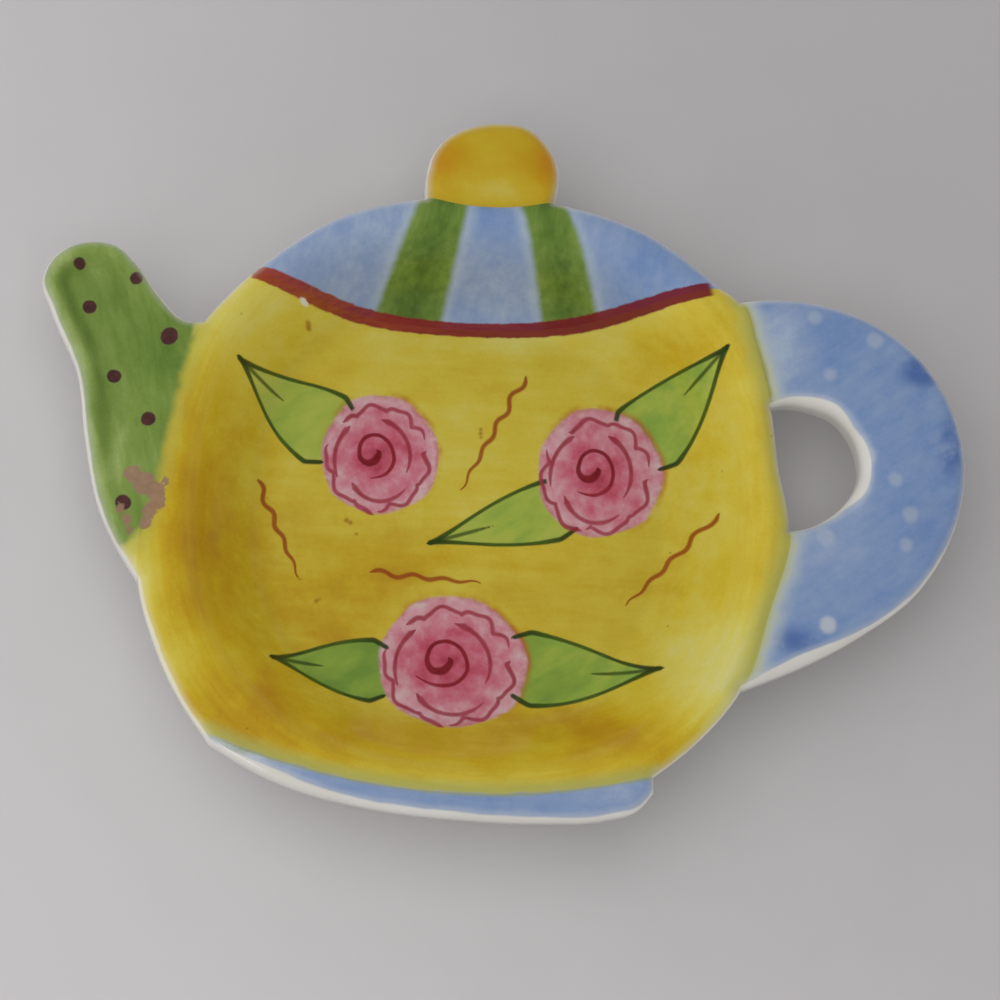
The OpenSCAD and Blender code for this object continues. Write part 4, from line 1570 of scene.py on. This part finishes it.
@dataclass
class Pot:
    """The plan, the section and the brushwork that all pieces share."""

    plan: Plan
    section: Section
    brushwork: Brushwork
    scale: Array = field(init=False)

    def __post_init__(self) -> None:
        """Draws the plan a hair smaller, where it would leave the frame's box."""
        free = np.vstack(self.plan.free_edges())
        own = free.max(0) - free.min(0)
        room = np.array([(CAD_HIGH[i] - CAD_LOW[i]) / MM for i in (0, 1)])
        self.scale = np.minimum(1.0, room / own)

    def placed(self, points: Array) -> Array:
        """Moves plan places from the belly's middle to the frame's origin."""
        return (points - self.plan.middle) * self.scale

    def round_shell(self, loop: Array, middle: Array, upper_shares: Array, lower_shares: Array,
                    relief: Callable[[Array], Array] | None = None) -> Shell:
        """Closes a solid round a middle that sees the whole of its edge loop.

        Rings of points run from the middle to the loop. They close in on each other
        over the lip and the heel, by the cosine of equal turns.

        Args:
            loop: The edge, anticlockwise from above.
            middle: Where the rings close.
            upper_shares: Shares from the middle to the lip, for the upper side.
            lower_shares: The same for the underside.
            relief: Height to add at places of the upper side, nothing at the edge.

        Returns:
            The solid.
        """
        section = self.section
        count = len(loop)
        reach = np.linalg.norm(loop - middle, axis=1)

        def rings(shares: Array, radius: float, turns: int) -> Array:
            """Places the middle, then a ring for each share and for each turn of the edge.

            Args:
                shares: Shares from the middle to the turned edge.
                radius: The edge's radius.
                turns: Rings over it.

            Returns:
                The places.
            """
            inner = shares[:, None] * (1 - radius / reach)
            turn = np.linspace(np.pi / 2, 0, turns)[:, None]
            outer = 1 - radius * (1 - np.cos(turn)) / reach
            spread = np.vstack([inner, outer])[..., None] * (loop - middle)
            return np.vstack([middle[None], (middle + spread).reshape(-1, 2)])

        top = rings(upper_shares, section.lip_r, LIP_TURNS)
        bottom = rings(lower_shares, section.heel_r, HEEL_TURNS)
        gap = section.to_edge(top)
        height = section.upper(top, gap)
        if relief:
            height += relief(top)
        below = section.lower(bottom, section.to_edge(bottom))
        up_rings, down_rings = (len(top) - 1) // count, (len(bottom) - 1) // count
        j = np.arange(count)
        k = (j + 1) % count

        def grid(first: int, total: int) -> tuple[Array, Array, Array, Array]:
            """Numbers the four corners of every quad between the rings of one side."""
            ring = first + 1 + count * np.arange(total - 1)[:, None]
            return ring + j, ring + k, ring + count + k, ring + count + j

        a, b, c, d = (part.ravel() for part in grid(0, up_rings))
        under = len(top)
        e, f, g, h = (part.ravel() for part in grid(under, down_rings))
        rim, heel = under - count, under + len(bottom) - count
        faces = [
            np.stack([np.zeros(count, int), 1 + j, 1 + k], axis=1),
            np.stack([a, d, c, b], axis=1),
            np.stack([heel + j, heel + k, rim + k, rim + j], axis=1),
            np.stack([e, f, g, h], axis=1),
            np.stack([np.full(count, under), under + 1 + k, under + 1 + j], axis=1)]
        plan_points = self.placed(top)
        points = np.vstack([np.column_stack([plan_points, height]),
                            np.column_stack([self.placed(bottom), below])])
        return Shell(points, faces, plan_points, gap)

    def strip_shell(self, near: Array, far: Array, start: Array, end: Array, rows: Array,
                    crown: float = 0.0) -> Shell:
        """Closes a solid between a near and a far line with as many steps.

        A place is blended from all four sides: the mean across plus the mean along,
        less the mean of the corners.

        Args:
            near: The strip's near line.
            far: The strip's far line.
            start: Points across its start, one for each row.
            end: Points across its end.
            rows: Shares across the strip.
            crown: Height of its rounded middle, a sine each way.

        Returns:
            The solid.
        """
        section = self.section
        u = np.linspace(0, 1, len(near))[:, None, None]
        v = rows[None, :, None]
        across = near[:, None] * (1 - v) + far[:, None] * v
        along = start[None] * (1 - u) + end[None] * u
        corners = ((near[0] * (1 - v) + far[0] * v) * (1 - u) + (near[-1] * (1 - v) + far[-1] * v) * u)
        plan = (across + along - corners).reshape(-1, 2)
        gap = section.to_edge(plan)
        raised = crown * (np.sin(np.pi * v) * np.sin(np.pi * u)).ravel()
        width, steps = len(rows), len(near)
        n = np.arange(steps * width).reshape(steps, width)
        under = steps * width
        quads = quads_of(n)
        ring = np.concatenate([n[:-1, 0], n[-1, :-1], n[:0:-1, -1], n[0, :0:-1]])
        onward = np.roll(ring, -1)
        wall = np.stack([under + ring, under + onward, onward, ring], axis=1)
        plan_points = self.placed(plan)
        points = np.vstack([np.column_stack([plan_points, section.upper(plan, gap) + raised]),
                            np.column_stack([plan_points, section.lower(plan, gap)])])
        faces = [quads, wall, quads[:, ::-1] + under]
        if signed_volume(points, faces) < 0:
            faces = [part[:, ::-1] for part in faces]
        return Shell(points, faces, plan_points, gap)

    def line(self, name: str) -> Array:
        """Gives one of the plan's lines about the frame's origin."""
        return self.placed(self.plan.lines[name])


def quads_of(n: Array) -> Array:
    """Lists the quads of a grid of point numbers."""
    return np.stack([n[:-1, :-1], n[1:, :-1], n[1:, 1:], n[:-1, 1:]], axis=-1).reshape(-1, 4)


def signed_volume(points: Array, faces: list[Array]) -> float:
    """Volume inside the faces, negative where they are inside out.

    Args:
        points: Places of the corners.
        faces: Quads and triangles.

    Returns:
        The volume.
    """
    fans = np.vstack([part[:, [0, i, i + 1]] for part in faces for i in range(1, part.shape[1] - 1)])
    a, b, c = (points[fans[:, i]] for i in (0, 1, 2))
    return float(np.einsum("ij,ij->i", a, np.cross(b, c)).sum() / 6)


@dataclass
class PotPiece:
    """One painted piece: its mesh, its paint columns and its coat."""

    pot: Pot
    node: str
    name: str
    slot: Slot
    coat: Coat
    bare_w: float = 0.15
    # Where the bare lip is wider. The blot at (-29, -47) also paints a highlight, whitening the foot band's
    # lip at its left end.
    bare_and_highlight_blots: tuple[Blot, ...] = (
        (-66, 14, 4, 14, 0.20), (-60, -8, 5, 14, 0.30), (-49, -31, 9, 13, 0.30),
        (-10, -51, 42, 5, 0.50), (-29, -47, 8, 4, 0.80), (46, -25, 11, 6, 1.30),
        (60, -13, 8, 8, 0.35), (47, 13.5, 7, 3.0, 1.10), (53, 3, 2.5, 9, 1.05))

    def shell(self) -> Shell:
        """Builds the piece's solid."""
        raise NotImplementedError

    def paint(self, shell: Shell) -> None:
        """Stores the columns that the piece's coat reads, none on a bare piece."""

    def store_edges(self, shell: Shell) -> None:
        """Stores how far the wash reaches to the lip, and the borders of green and blue.

        The bare lip is wider on some sides, so its width there is taken off the distance to
        the free edge. At the foot band's left end that white also paints a highlight.

        Args:
            shell: The piece's solid.
        """
        points = shell.plan_points
        bare = blotted(points, self.bare_w, self.bare_and_highlight_blots)
        border = smooth_line(np.array(self.pot.brushwork.green_border))
        _, spout, _ = line_gaps(points, border)
        root = np.vstack([self.pot.line(name) for name in (
            "handle_root_low", "hole_side", "handle_root_high")])
        _, handle, _ = line_gaps(points, root[np.r_[True, np.any(np.diff(root, axis=0), axis=1)]])
        shell.store(Field.LIP, shell.lip - bare, spout, handle, below=(UNDERSIDE, FAR, FAR))

    def store_crease(self, shell: Shell) -> None:
        """Stores the gap to the handle's upper root, how dark the crease's painted shade is, and the green.

        Args:
            shell: The piece's solid.
        """
        points = shell.plan_points
        gap, _, share = line_gaps(points, self.pot.line("handle_root_high"))
        green = self.pot.brushwork.green_at(points)
        shell.store(Field.CREASE, gap, 1 - 0.6 * share, green, below=(FAR, 0, 0))

    def store_seam(self, shell: Shell) -> None:
        """Stores the distance to the lid's seam, the share along it, and the worn patch.

        Args:
            shell: The piece's solid.
        """
        _, gap, share = line_gaps(shell.plan_points, self.pot.line("lid_seam"))
        worn = disc_gap(shell.plan_points, self.pot.brushwork.worn)
        shell.store(Field.SEAM, gap, share, worn, below=(FAR, 0, FAR))

    def build(self) -> bpy.types.Object:
        """Builds, paints and dresses the piece, and hands it to the frame.

        Returns:
            The piece's object.
        """
        shell = self.shell()
        piece = shell.mesh(self.name)
        self.paint(shell)
        piece.data.materials.append(self.coat.material())
        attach(piece, Body.ROOT.value)
        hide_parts(self.node)
        log.info("%s: %d points, volume %.2f cm3", self.name, len(shell.points),
                 signed_volume(shell.points, shell.faces) / 1000)
        return piece


@dataclass
class Dish(PotPiece):
    """The belly: a shallow square-shouldered well with a rolled lip."""

    # Denser and paler patches of the yellow. The last, at (-50, -24), thins the wash on the left rim's
    # crest and so also paints a highlight along it.
    blots: tuple[Blot, ...] = (
        (-43, -14, 7, 19, 0.30), (-44, -34, 4, 8, -0.10), (-33, -38, 8, 6, 0.22),
        (-24, -21, 12, 8, 0.18), (-24, -41, 12, 5, 0.16), (-12, -14, 20, 6, 0.08),
        (-6, -41, 14, 5, 0.12), (12, -37, 12, 5, 0.18), (21, -38, 7, 4, 0.22),
        (-43, 19, 7, 6, -0.20), (0, 6, 12, 12, -0.06), (0, 24, 24, 4, -0.16),
        (26, 21, 6, 4, 0.16), (31, 4, 6, 10, -0.10), (39, 8, 4, 8, 0.10),
        (34, -27, 7, 8, -0.30), (-50, -24, 3.5, 6, -0.25))
    orange_blots: tuple[Blot, ...] = (
        (-30, -12, 8, 9, 0.35), (-24, -22, 12, 8, 0.4), (-14, -8, 7, 5, 0.35),
        (-5, -17, 16, 4, 0.35), (20, -14, 8, 6, 0.2), (12, -36, 13, 4, 0.4),
        (-26, -39, 10, 5, 0.4), (-44, -20, 4, 9, 0.15), (-31.3, -34.5, 1.6, 2.2, 0.8))
    rim_turns: float = 4.4

    def shell(self) -> Shell:
        """Builds the belly's solid from rings about its middle.

        Returns:
            The solid.
        """
        lines = self.pot.plan.lines
        loop = loop_of([
            lines["right_flank"], lines["handle_root_low"], lines["hole_side"], lines["handle_root_high"],
            lines["right_shoulder"], lines["lid_seam"][::-1], lines["left_shoulder"], lines["spout_root"],
            lines["left_flank"], lines["foot_seam"]])
        upper = np.concatenate([np.linspace(0.02, 0.10, 7)[:-1], np.linspace(0.10, 0.90, 118)[:-1],
                                np.linspace(0.90, 0.99, 9)])
        return self.pot.round_shell(loop, np.zeros(2), upper, np.linspace(0.06, 0.98, 22))

    def paint(self, shell: Shell) -> None:
        """Stores washes, roses, leaves and line work.

        Args:
            shell: The piece's solid.
        """
        points, brushwork = shell.plan_points, self.pot.brushwork
        self.store_edges(shell)
        self.store_crease(shell)
        _, foot, _ = line_gaps(points, self.pot.line("foot_seam"))
        shell.store(Field.WASH, blotted(points, 0.56, self.blots),
                    blotted(points, 0.0, self.orange_blots), foot, below=(0, 0, FAR))
        about = points + self.pot.plan.middle
        inset = self.pot.section.inset(about)
        round_it = self.rim_turns * about / np.maximum(np.linalg.norm(about, axis=1), 1.0)[:, None]
        shell.store(Field.RIM, inset, round_it)
        self.store_seam(shell)
        chip, drop = (disc_gap(points, marks) for marks in (brushwork.chips, brushwork.drops))
        shell.store(Field.DOT, chip, drop, below=(FAR, FAR, 0))
        shell.store(Field.ROSE, brushwork.roses_at(points), below=(FAR, 1, 0))
        shell.store(Field.LEAF, brushwork.leaves_at(points), below=(FAR, 1, 0))
        for name, strokes in (
                (Field.HEART, [rose.heart() for rose in brushwork.roses]),
                (Field.PETAL, [stroke for rose in brushwork.roses for stroke in rose.petals()]),
                (Field.LEAF_LEFT, [leaf.outline(0) for leaf in brushwork.leaves]),
                (Field.LEAF_RIGHT, [leaf.outline(1) for leaf in brushwork.leaves]),
                (Field.MIDRIB, [leaf.midrib() for leaf in brushwork.leaves]),
                (Field.SQUIGGLE, [squiggle.stroke() for squiggle in brushwork.squiggles])):
            shell.store(name, stroke_field(points, strokes), below=(FAR, FAR, 0))


@dataclass
class Lid(PotPiece):
    """The lid: a curved panel with two green stripes, above a red line."""

    stripe_tops: tuple[Place, Place] = ((-15.4, -7.8), (0.1, 7.5))
    stripe_ends: tuple[Place, Place] = ((-19.4, -9.3), (5.2, 13.8))
    stripe_rows: Place = (37.6, 24.6)
    blots: tuple[Blot, ...] = (
        (-4.0, 36.0, 3.4, 4.0, 0.22), (-30.0, 25.0, 9, 4, 0.04), (20.0, 31.0, 8, 6, 0.18),
        (-3.0, 28.0, 5, 4, -0.06))

    def shell(self) -> Shell:
        """Builds the lid's solid from rings about its middle.

        Returns:
            The solid.
        """
        lines = self.pot.plan.lines
        seam, root = lines["lid_seam"], lines["knob_root"]
        loop = loop_of([seam, lines["lid_arc_right"], root, lines["lid_arc_left"]])
        middle = (seam[len(seam) // 2] + root[len(root) // 2]) / 2
        shares = np.linspace(0.02, 0.985, 56)
        return self.pot.round_shell(loop, middle, shares, np.linspace(0.1, 0.98, 12))

    def stripes_at(self, points: Array) -> Array:
        """Gives the distance inside the nearer stripe, between two slanting lines each.

        Args:
            points: Places in plan.

        Returns:
            The distances, negative outside both.
        """
        top, end = self.stripe_rows
        down = (top - points[:, 1]) / (top - end)
        inside = np.full(len(points), -FAR)
        for tops, ends in zip(self.stripe_tops, self.stripe_ends):
            left, right = (tops[i] + (ends[i] - tops[i]) * down for i in (0, 1))
            inside = np.maximum(inside, np.minimum(points[:, 0] - left, right - points[:, 0]))
        return inside

    def paint(self, shell: Shell) -> None:
        """Stores the wash, the stripes and the seam's red line.

        Args:
            shell: The piece's solid.
        """
        points = shell.plan_points
        self.store_edges(shell)
        shell.store(Field.WASH, blotted(points, 0.42, self.blots))
        shell.store(Field.STRIPE, self.stripes_at(points), below=(-FAR, 0, 0))
        self.store_seam(shell)


@dataclass
class Knob(PotPiece):
    """The lid's round knob, slightly domed."""

    crown: float = 0.78
    slope_w: float = 6.0
    blots: tuple[Blot, ...] = (
        (-12.0, 44.5, 3.2, 3.2, 0.30), (3.0, 45.5, 3.0, 4.0, 0.34), (-4.5, 47.0, 4, 5, -0.06),
        (-4.0, 40.5, 6, 2.2, -0.24))

    def shell(self) -> Shell:
        """Builds the knob's solid from rings about its middle.

        Returns:
            The solid.
        """
        plan = self.pot.plan
        loop = loop_of([plan.lines["knob_edge"], plan.lines["knob_root"][::-1]])
        middle = plan.middle_of("knob_root", plan.knob_reach, plan.knob_middle_share)
        shares = np.linspace(0.04, 0.98, 26)
        closed = np.vstack([loop, loop[:1]])

        def domed(points: Array) -> Array:
            """Rises from the edge to the crown as half a cosine wave."""
            return self.crown * (1 - eased(line_gaps(points, closed)[0] / self.slope_w))

        return self.pot.round_shell(loop, middle, shares, np.linspace(0.1, 0.98, 10), domed)

    def paint(self, shell: Shell) -> None:
        """Stores the wash."""
        self.store_edges(shell)
        shell.store(Field.WASH, blotted(shell.plan_points, 0.48, self.blots))


@dataclass
class Spout(PotPiece):
    """The spout, with a pouring trough along it."""

    trough: float = 2.4
    slope_w: float = 5.0
    root_run: float = 9.0
    crest_x: float = -55.0

    def shell(self) -> Shell:
        """Builds the spout's solid from rings about its middle.

        Returns:
            The solid.
        """
        plan = self.pot.plan
        loop = loop_of([plan.lines["spout_root"][::-1], plan.lines["spout_edge"]])
        middle = plan.middle_of("spout_root", plan.spout_reach, plan.spout_middle_share)
        shares = np.linspace(0.02, 0.985, 60)

        def hollowed(points: Array) -> Array:
            """Falls into the trough from the free edge, and more gently from the root."""
            edge, root = (line_gaps(points, plan.lines[name])[0] for name in (
                "spout_edge", "spout_root"))
            return -self.trough * (1 - eased(edge / self.slope_w)) * (1 - eased(root / self.root_run))

        return self.pot.round_shell(loop, middle, shares, np.linspace(0.1, 0.98, 14), hollowed)

    def paint(self, shell: Shell) -> None:
        """Stores the wash, thinner on the left edge's crest as painted highlight and thicker in the valley
        behind it as painted shade, and the spots.

        Args:
            shell: The piece's solid.
        """
        points = shell.plan_points
        self.store_edges(shell)
        leftward = np.clip((self.crest_x - points[:, 0] - 0.25 * points[:, 1]) / 4, 0, 1)
        # Painted shade in the valley behind the left crest, and painted highlight on the crest itself.
        behind = 0.16 * np.exp(-((shell.lip - 3.2) / 0.8) ** 2)
        crest = 0.24 * np.exp(-((shell.lip - 1.4) / 0.9) ** 2)
        shell.store(Field.WASH, self.pot.brushwork.green_at(points) + leftward * (behind - crest))
        shell.store(Field.DOT, disc_gap(points, self.pot.brushwork.spots), 1, below=(FAR, 0, 0))
        self.store_seam(shell)


@dataclass
class Handle(PotPiece):
    """The looped handle round the finger hole."""

    crown: float = 0.5
    dark_blots: tuple[Blot, ...] = (
        (60.5, 19.5, 3, 2.6, 1.1), (65.3, 8.5, 1.8, 4.0, 1.2), (51.0, 24.0, 6, 4, 0.15),
        (62.0, -4.0, 4, 6, 0.25), (43.5, -22.3, 4, 2.2, 0.75))
    blots: tuple[Blot, ...] = (
        (39.5, 21.0, 3, 7, -0.28), (44.0, 13.5, 6, 2.5, -0.12), (39.0, -22.0, 4, 5, -0.22),
        (52.0, 2.0, 2, 6, -0.18), (46.0, -8.0, 6, 4, -0.14))

    def shell(self) -> Shell:
        """Builds the handle's solid between the hole and the outer edge."""
        lines, plan = self.pot.plan.lines, self.pot.plan
        return self.pot.strip_shell(lines["hole_edge"], lines["handle_edge"], lines["handle_root_high"],
                                    lines["handle_root_low"][::-1], plan.handle_rows, self.crown)

    def paint(self, shell: Shell) -> None:
        """Stores the wash, the dark patches and the pale dots.

        Args:
            shell: The piece's solid.
        """
        points, dots = shell.plan_points, self.pot.brushwork.pale_dots
        self.store_edges(shell)
        self.store_crease(shell)
        shell.store(Field.WASH, blotted(points, 0.58, self.blots),
                    blotted(points, 0.0, self.dark_blots))
        clear = np.linalg.norm(points - np.array(dots[-1][:2]), axis=1) < 3
        shell.store(Field.DOT, disc_gap(points, dots), np.where(clear, 1.0, 0.45), below=(FAR, 0, 0))


@dataclass
class FootBand(PotPiece):
    """The blue band that stands for the pot's foot, below the belly."""

    blots: tuple[Blot, ...] = ((-33.5, -44.0, 8, 4, -0.42), (20.0, -46.5, 7, 3, -0.12))
    smudges: tuple[Blot, ...] = ((-34.5, -43.8, 4.0, 2.0, 1.0),)

    def shell(self) -> Shell:
        """Builds the band's solid between its edge and its seam.

        Returns:
            The solid.
        """
        lines = self.pot.plan.lines
        edge, seam = lines["foot_edge"], lines["foot_seam"]
        rows = np.linspace(0, 1, 22)
        start, end = (edge[i] * (1 - rows[:, None]) + seam[i] * rows[:, None] for i in (0, -1))
        return self.pot.strip_shell(edge, seam, start, end, rows)

    def paint(self, shell: Shell) -> None:
        """Stores the wash and the distance to the seam.

        Args:
            shell: The piece's solid.
        """
        points = shell.plan_points
        self.store_edges(shell)
        _, foot, _ = line_gaps(points, self.pot.line("foot_seam"))
        shell.store(Field.WASH, blotted(points, 0.52, self.blots), blotted(points, 0.0, self.smudges),
                    foot, below=(0, 0, FAR))


@dataclass
class FootRing(PotPiece):
    """The bare ring that the dish stands on, turned about the middle of the belly."""

    outer_r: float = 28.5
    width: float = 3.6
    height: float = 2.0
    edge_r: float = 0.6
    segments: int = 240

    def shell(self) -> Shell:
        """Turns a square section with two rounded lower corners about the belly's middle.

        Returns:
            The solid.
        """
        turn = np.linspace(0, np.pi / 2, 7)
        inner, outer = self.outer_r - self.width, self.outer_r
        early, late = self.edge_r * (1 - np.cos(turn)), self.edge_r * (1 - np.sin(turn))
        low_in = np.stack([inner + early, late], axis=1)
        low_out = np.stack([outer - late, early], axis=1)
        flat = np.linspace(low_in[-1], low_out[0], 6)[1:-1]
        profile = np.vstack([[inner, self.height], low_in, flat, low_out, [outer, self.height]])
        angle = np.linspace(0, 2 * np.pi, self.segments, endpoint=False)[:, None]
        middle = self.pot.placed(np.zeros((1, 2)))[0]
        rows = len(profile)
        reach, height = profile.T
        points = np.stack([middle[0] + np.cos(angle) * reach, middle[1] + np.sin(angle) * reach,
                           np.broadcast_to(height, (self.segments, rows))], axis=-1).reshape(-1, 3)
        n = np.arange(self.segments)[:, None] * rows + np.arange(rows)
        on = np.roll(n, -1, axis=0)
        quads = np.stack([n, on, np.roll(on, -1, axis=1), np.roll(n, -1, axis=1)], axis=-1).reshape(-1, 4)
        faces = [quads if signed_volume(points, [quads]) > 0 else quads[:, ::-1]]
        return Shell(points, faces, points[:, :2], np.zeros(len(points)))


# Floor, light and camera


def toward(azimuth: float, elevation: float) -> Array:
    """Direction from the rest towards a place round from the front and above the table."""
    round_it, up = math.radians(azimuth), math.radians(elevation)
    return np.array([math.sin(round_it) * math.cos(up), -math.cos(round_it) * math.cos(up), math.sin(up)])


@dataclass(frozen=True)
class Lamp:
    """A flat lamp that faces the rest.

    Attributes:
        name: Its name.
        azimuth: Degrees round from the front.
        elevation: Degrees above the table.
        distance: From the rest.
        size: Its width and height.
        watts: Its power.
        glints: Whether it shows in the glaze.
    """

    name: str
    azimuth: float
    elevation: float
    distance: float
    size: Place
    watts: float
    glints: bool

    def hang(self) -> None:
        """Hangs the lamp, turned towards the rest."""
        data = bpy.data.lights.new(self.name, "AREA")
        data.energy, data.shape = self.watts, "RECTANGLE"
        data.size, data.size_y = (side * MM for side in self.size)
        lamp = bpy.data.objects.new(self.name, data)
        lamp.visible_glossy = self.glints
        bpy.context.scene.collection.objects.link(lamp)
        way = toward(self.azimuth, self.elevation)
        lamp.location = Vector(way * self.distance * MM)
        lamp.rotation_euler = Vector(way).to_track_quat("Z", "Y").to_euler()


@dataclass
class Studio:
    """A plain pale floor under a soft ceiling light, seen as in the photograph.

    The ceiling light doesn't show in the glaze, which stays clear. A low slit of light
    gives its few glints.

    Attributes:
        azimuth: The camera's degrees round from the front, to the right.
        elevation: Its degrees above the table.
        roll: Its degrees about its own line of sight.
        distance: From it to what it looks at.
        target: What it looks at.
        lens: Its focal length on a sensor of the usual width.
        floor_half: Half the floor's side.
        zenith: Strength of the sky above the bright part.
        horizon: The same at the horizon.
        sky_top: Degrees above the horizon where the bright part ends.
        reflected: Strength of the even sky that the glaze reflects.
        lamps: The lamps.
    """

    azimuth: float = -22.0
    elevation: float = 76.0
    roll: float = 5.5
    distance: float = 420.0
    target: tuple[float, float, float] = (0.317, -4.841, 14.0)
    lens: float = 104.58
    floor_half: float = 1500.0
    zenith: float = 0.14
    horizon: float = 1.5
    sky_top: float = 60.0
    reflected: float = 0.16
    lamps: tuple[Lamp, ...] = (
        Lamp("ceiling", -85.0, 72.0, 500.0, (600.0, 600.0), 1.8, False),
        Lamp("slit", -35.0, 2.2, 1200.0, (500.0, 60.0), 1.0, True))

    def build(self) -> None:
        """Makes the floor, the sky, the lamps and the camera."""
        self._floor()
        self._sky()
        for lamp in self.lamps:
            lamp.hang()
        self._camera()
        bpy.context.scene.view_settings.view_transform = "Standard"

    def _floor(self) -> None:
        """Makes a floor of matt card with a faint tooth."""
        t = np.linspace(-self.floor_half, self.floor_half, 9)
        x, y = np.meshgrid(t, t, indexing="ij")
        quads = quads_of(np.arange(x.size).reshape(x.shape))
        points = np.stack([x.ravel(), y.ravel(), np.zeros(x.size)], axis=1)
        mesh = bpy.data.meshes.new("floor")
        mesh.from_pydata((points * MM).tolist(), [], quads.tolist())
        floor = bpy.data.objects.new("floor", mesh)
        bpy.context.scene.collection.objects.link(floor)
        mesh.materials.append(PaleCard().material())

    def _sky(self) -> None:
        """Makes a sky bright at the horizon, and an even dim one for the glaze to reflect."""
        world = bpy.data.worlds.new("pale_horizon")
        world.use_nodes = True
        tree = world.node_tree
        tree.nodes.clear()
        around = add(tree, "ShaderNodeTexCoord").outputs["Generated"]
        way = add(tree, "ShaderNodeSeparateXYZ", {0: around})
        height = add(tree, "ShaderNodeMapRange",
                     {"Value": way.outputs[2], "From Max": math.sin(math.radians(self.sky_top)),
                      "To Min": self.horizon, "To Max": self.zenith}, interpolation_type="SMOOTHSTEP")
        seen = add(tree, "ShaderNodeMix", {0: add(tree, "ShaderNodeLightPath").outputs["Is Glossy Ray"],
                                           2: height.outputs["Result"], 3: self.reflected})
        sky = add(tree, "ShaderNodeBackground",
                  {"Color": linear("#FFFFFF"), "Strength": seen.outputs[0]})
        add(tree, "ShaderNodeOutputWorld", {"Surface": sky.outputs[0]})
        bpy.context.scene.world = world

    def _camera(self) -> None:
        """Places the camera: its back along the line of sight, its right turned by the roll."""
        back = toward(self.azimuth, self.elevation)
        roll = math.radians(self.roll)
        level = np.array([math.cos(roll), math.sin(roll), 0.0])
        right = level - (level @ back) * back
        right /= np.linalg.norm(right)
        up = np.cross(back, right)
        place = (np.array(self.target) + self.distance * back) * MM
        turned = Matrix([[right[i], up[i], back[i], place[i]] for i in range(3)] + [[0, 0, 0, 1]])
        lens = bpy.data.cameras.new("camera")
        lens.lens, lens.sensor_width, lens.clip_start = self.lens, SENSOR_W, 10 * MM
        camera = bpy.data.objects.new("camera", lens)
        camera.matrix_world = turned
        bpy.context.scene.collection.objects.link(camera)
        bpy.context.scene.camera = camera


def main() -> None:
    """Builds the studio and the pieces in order, and reports each."""
    logging.basicConfig(level=logging.INFO, format="%(name)s: %(message)s")
    Studio().build()
    plan = Plan()
    pot = Pot(plan, Section(plan), Brushwork())
    for piece in (
            Dish(pot, "dish", "painted_dish", Slot.YELLOW_GLAZE, YellowBelly()),
            Lid(pot, "lid_panel", "painted_lid", Slot.BLUE_GLAZE,
                BlueWash("blue_underglaze_striped_earthenware", Part.LID)),
            Knob(pot, "knob", "painted_knob", Slot.AMBER_GLAZE, AmberKnob()),
            Spout(pot, "spout", "painted_spout", Slot.GREEN_GLAZE, GreenSpout()),
            Handle(pot, "handle", "painted_handle", Slot.BLUE_GLAZE,
                   BlueWash("blue_underglaze_earthenware", Part.HANDLE)),
            FootBand(pot, "foot_band", "painted_foot_band", Slot.BLUE_GLAZE,
                     BlueWash("blue_underglaze_banded_earthenware", Part.FOOT)),
            FootRing(pot, "foot_ring", "clay_foot_ring", Slot.BARE_CLAY, BareClay())):
        piece.build()


if __name__ == "__main__":
    main()
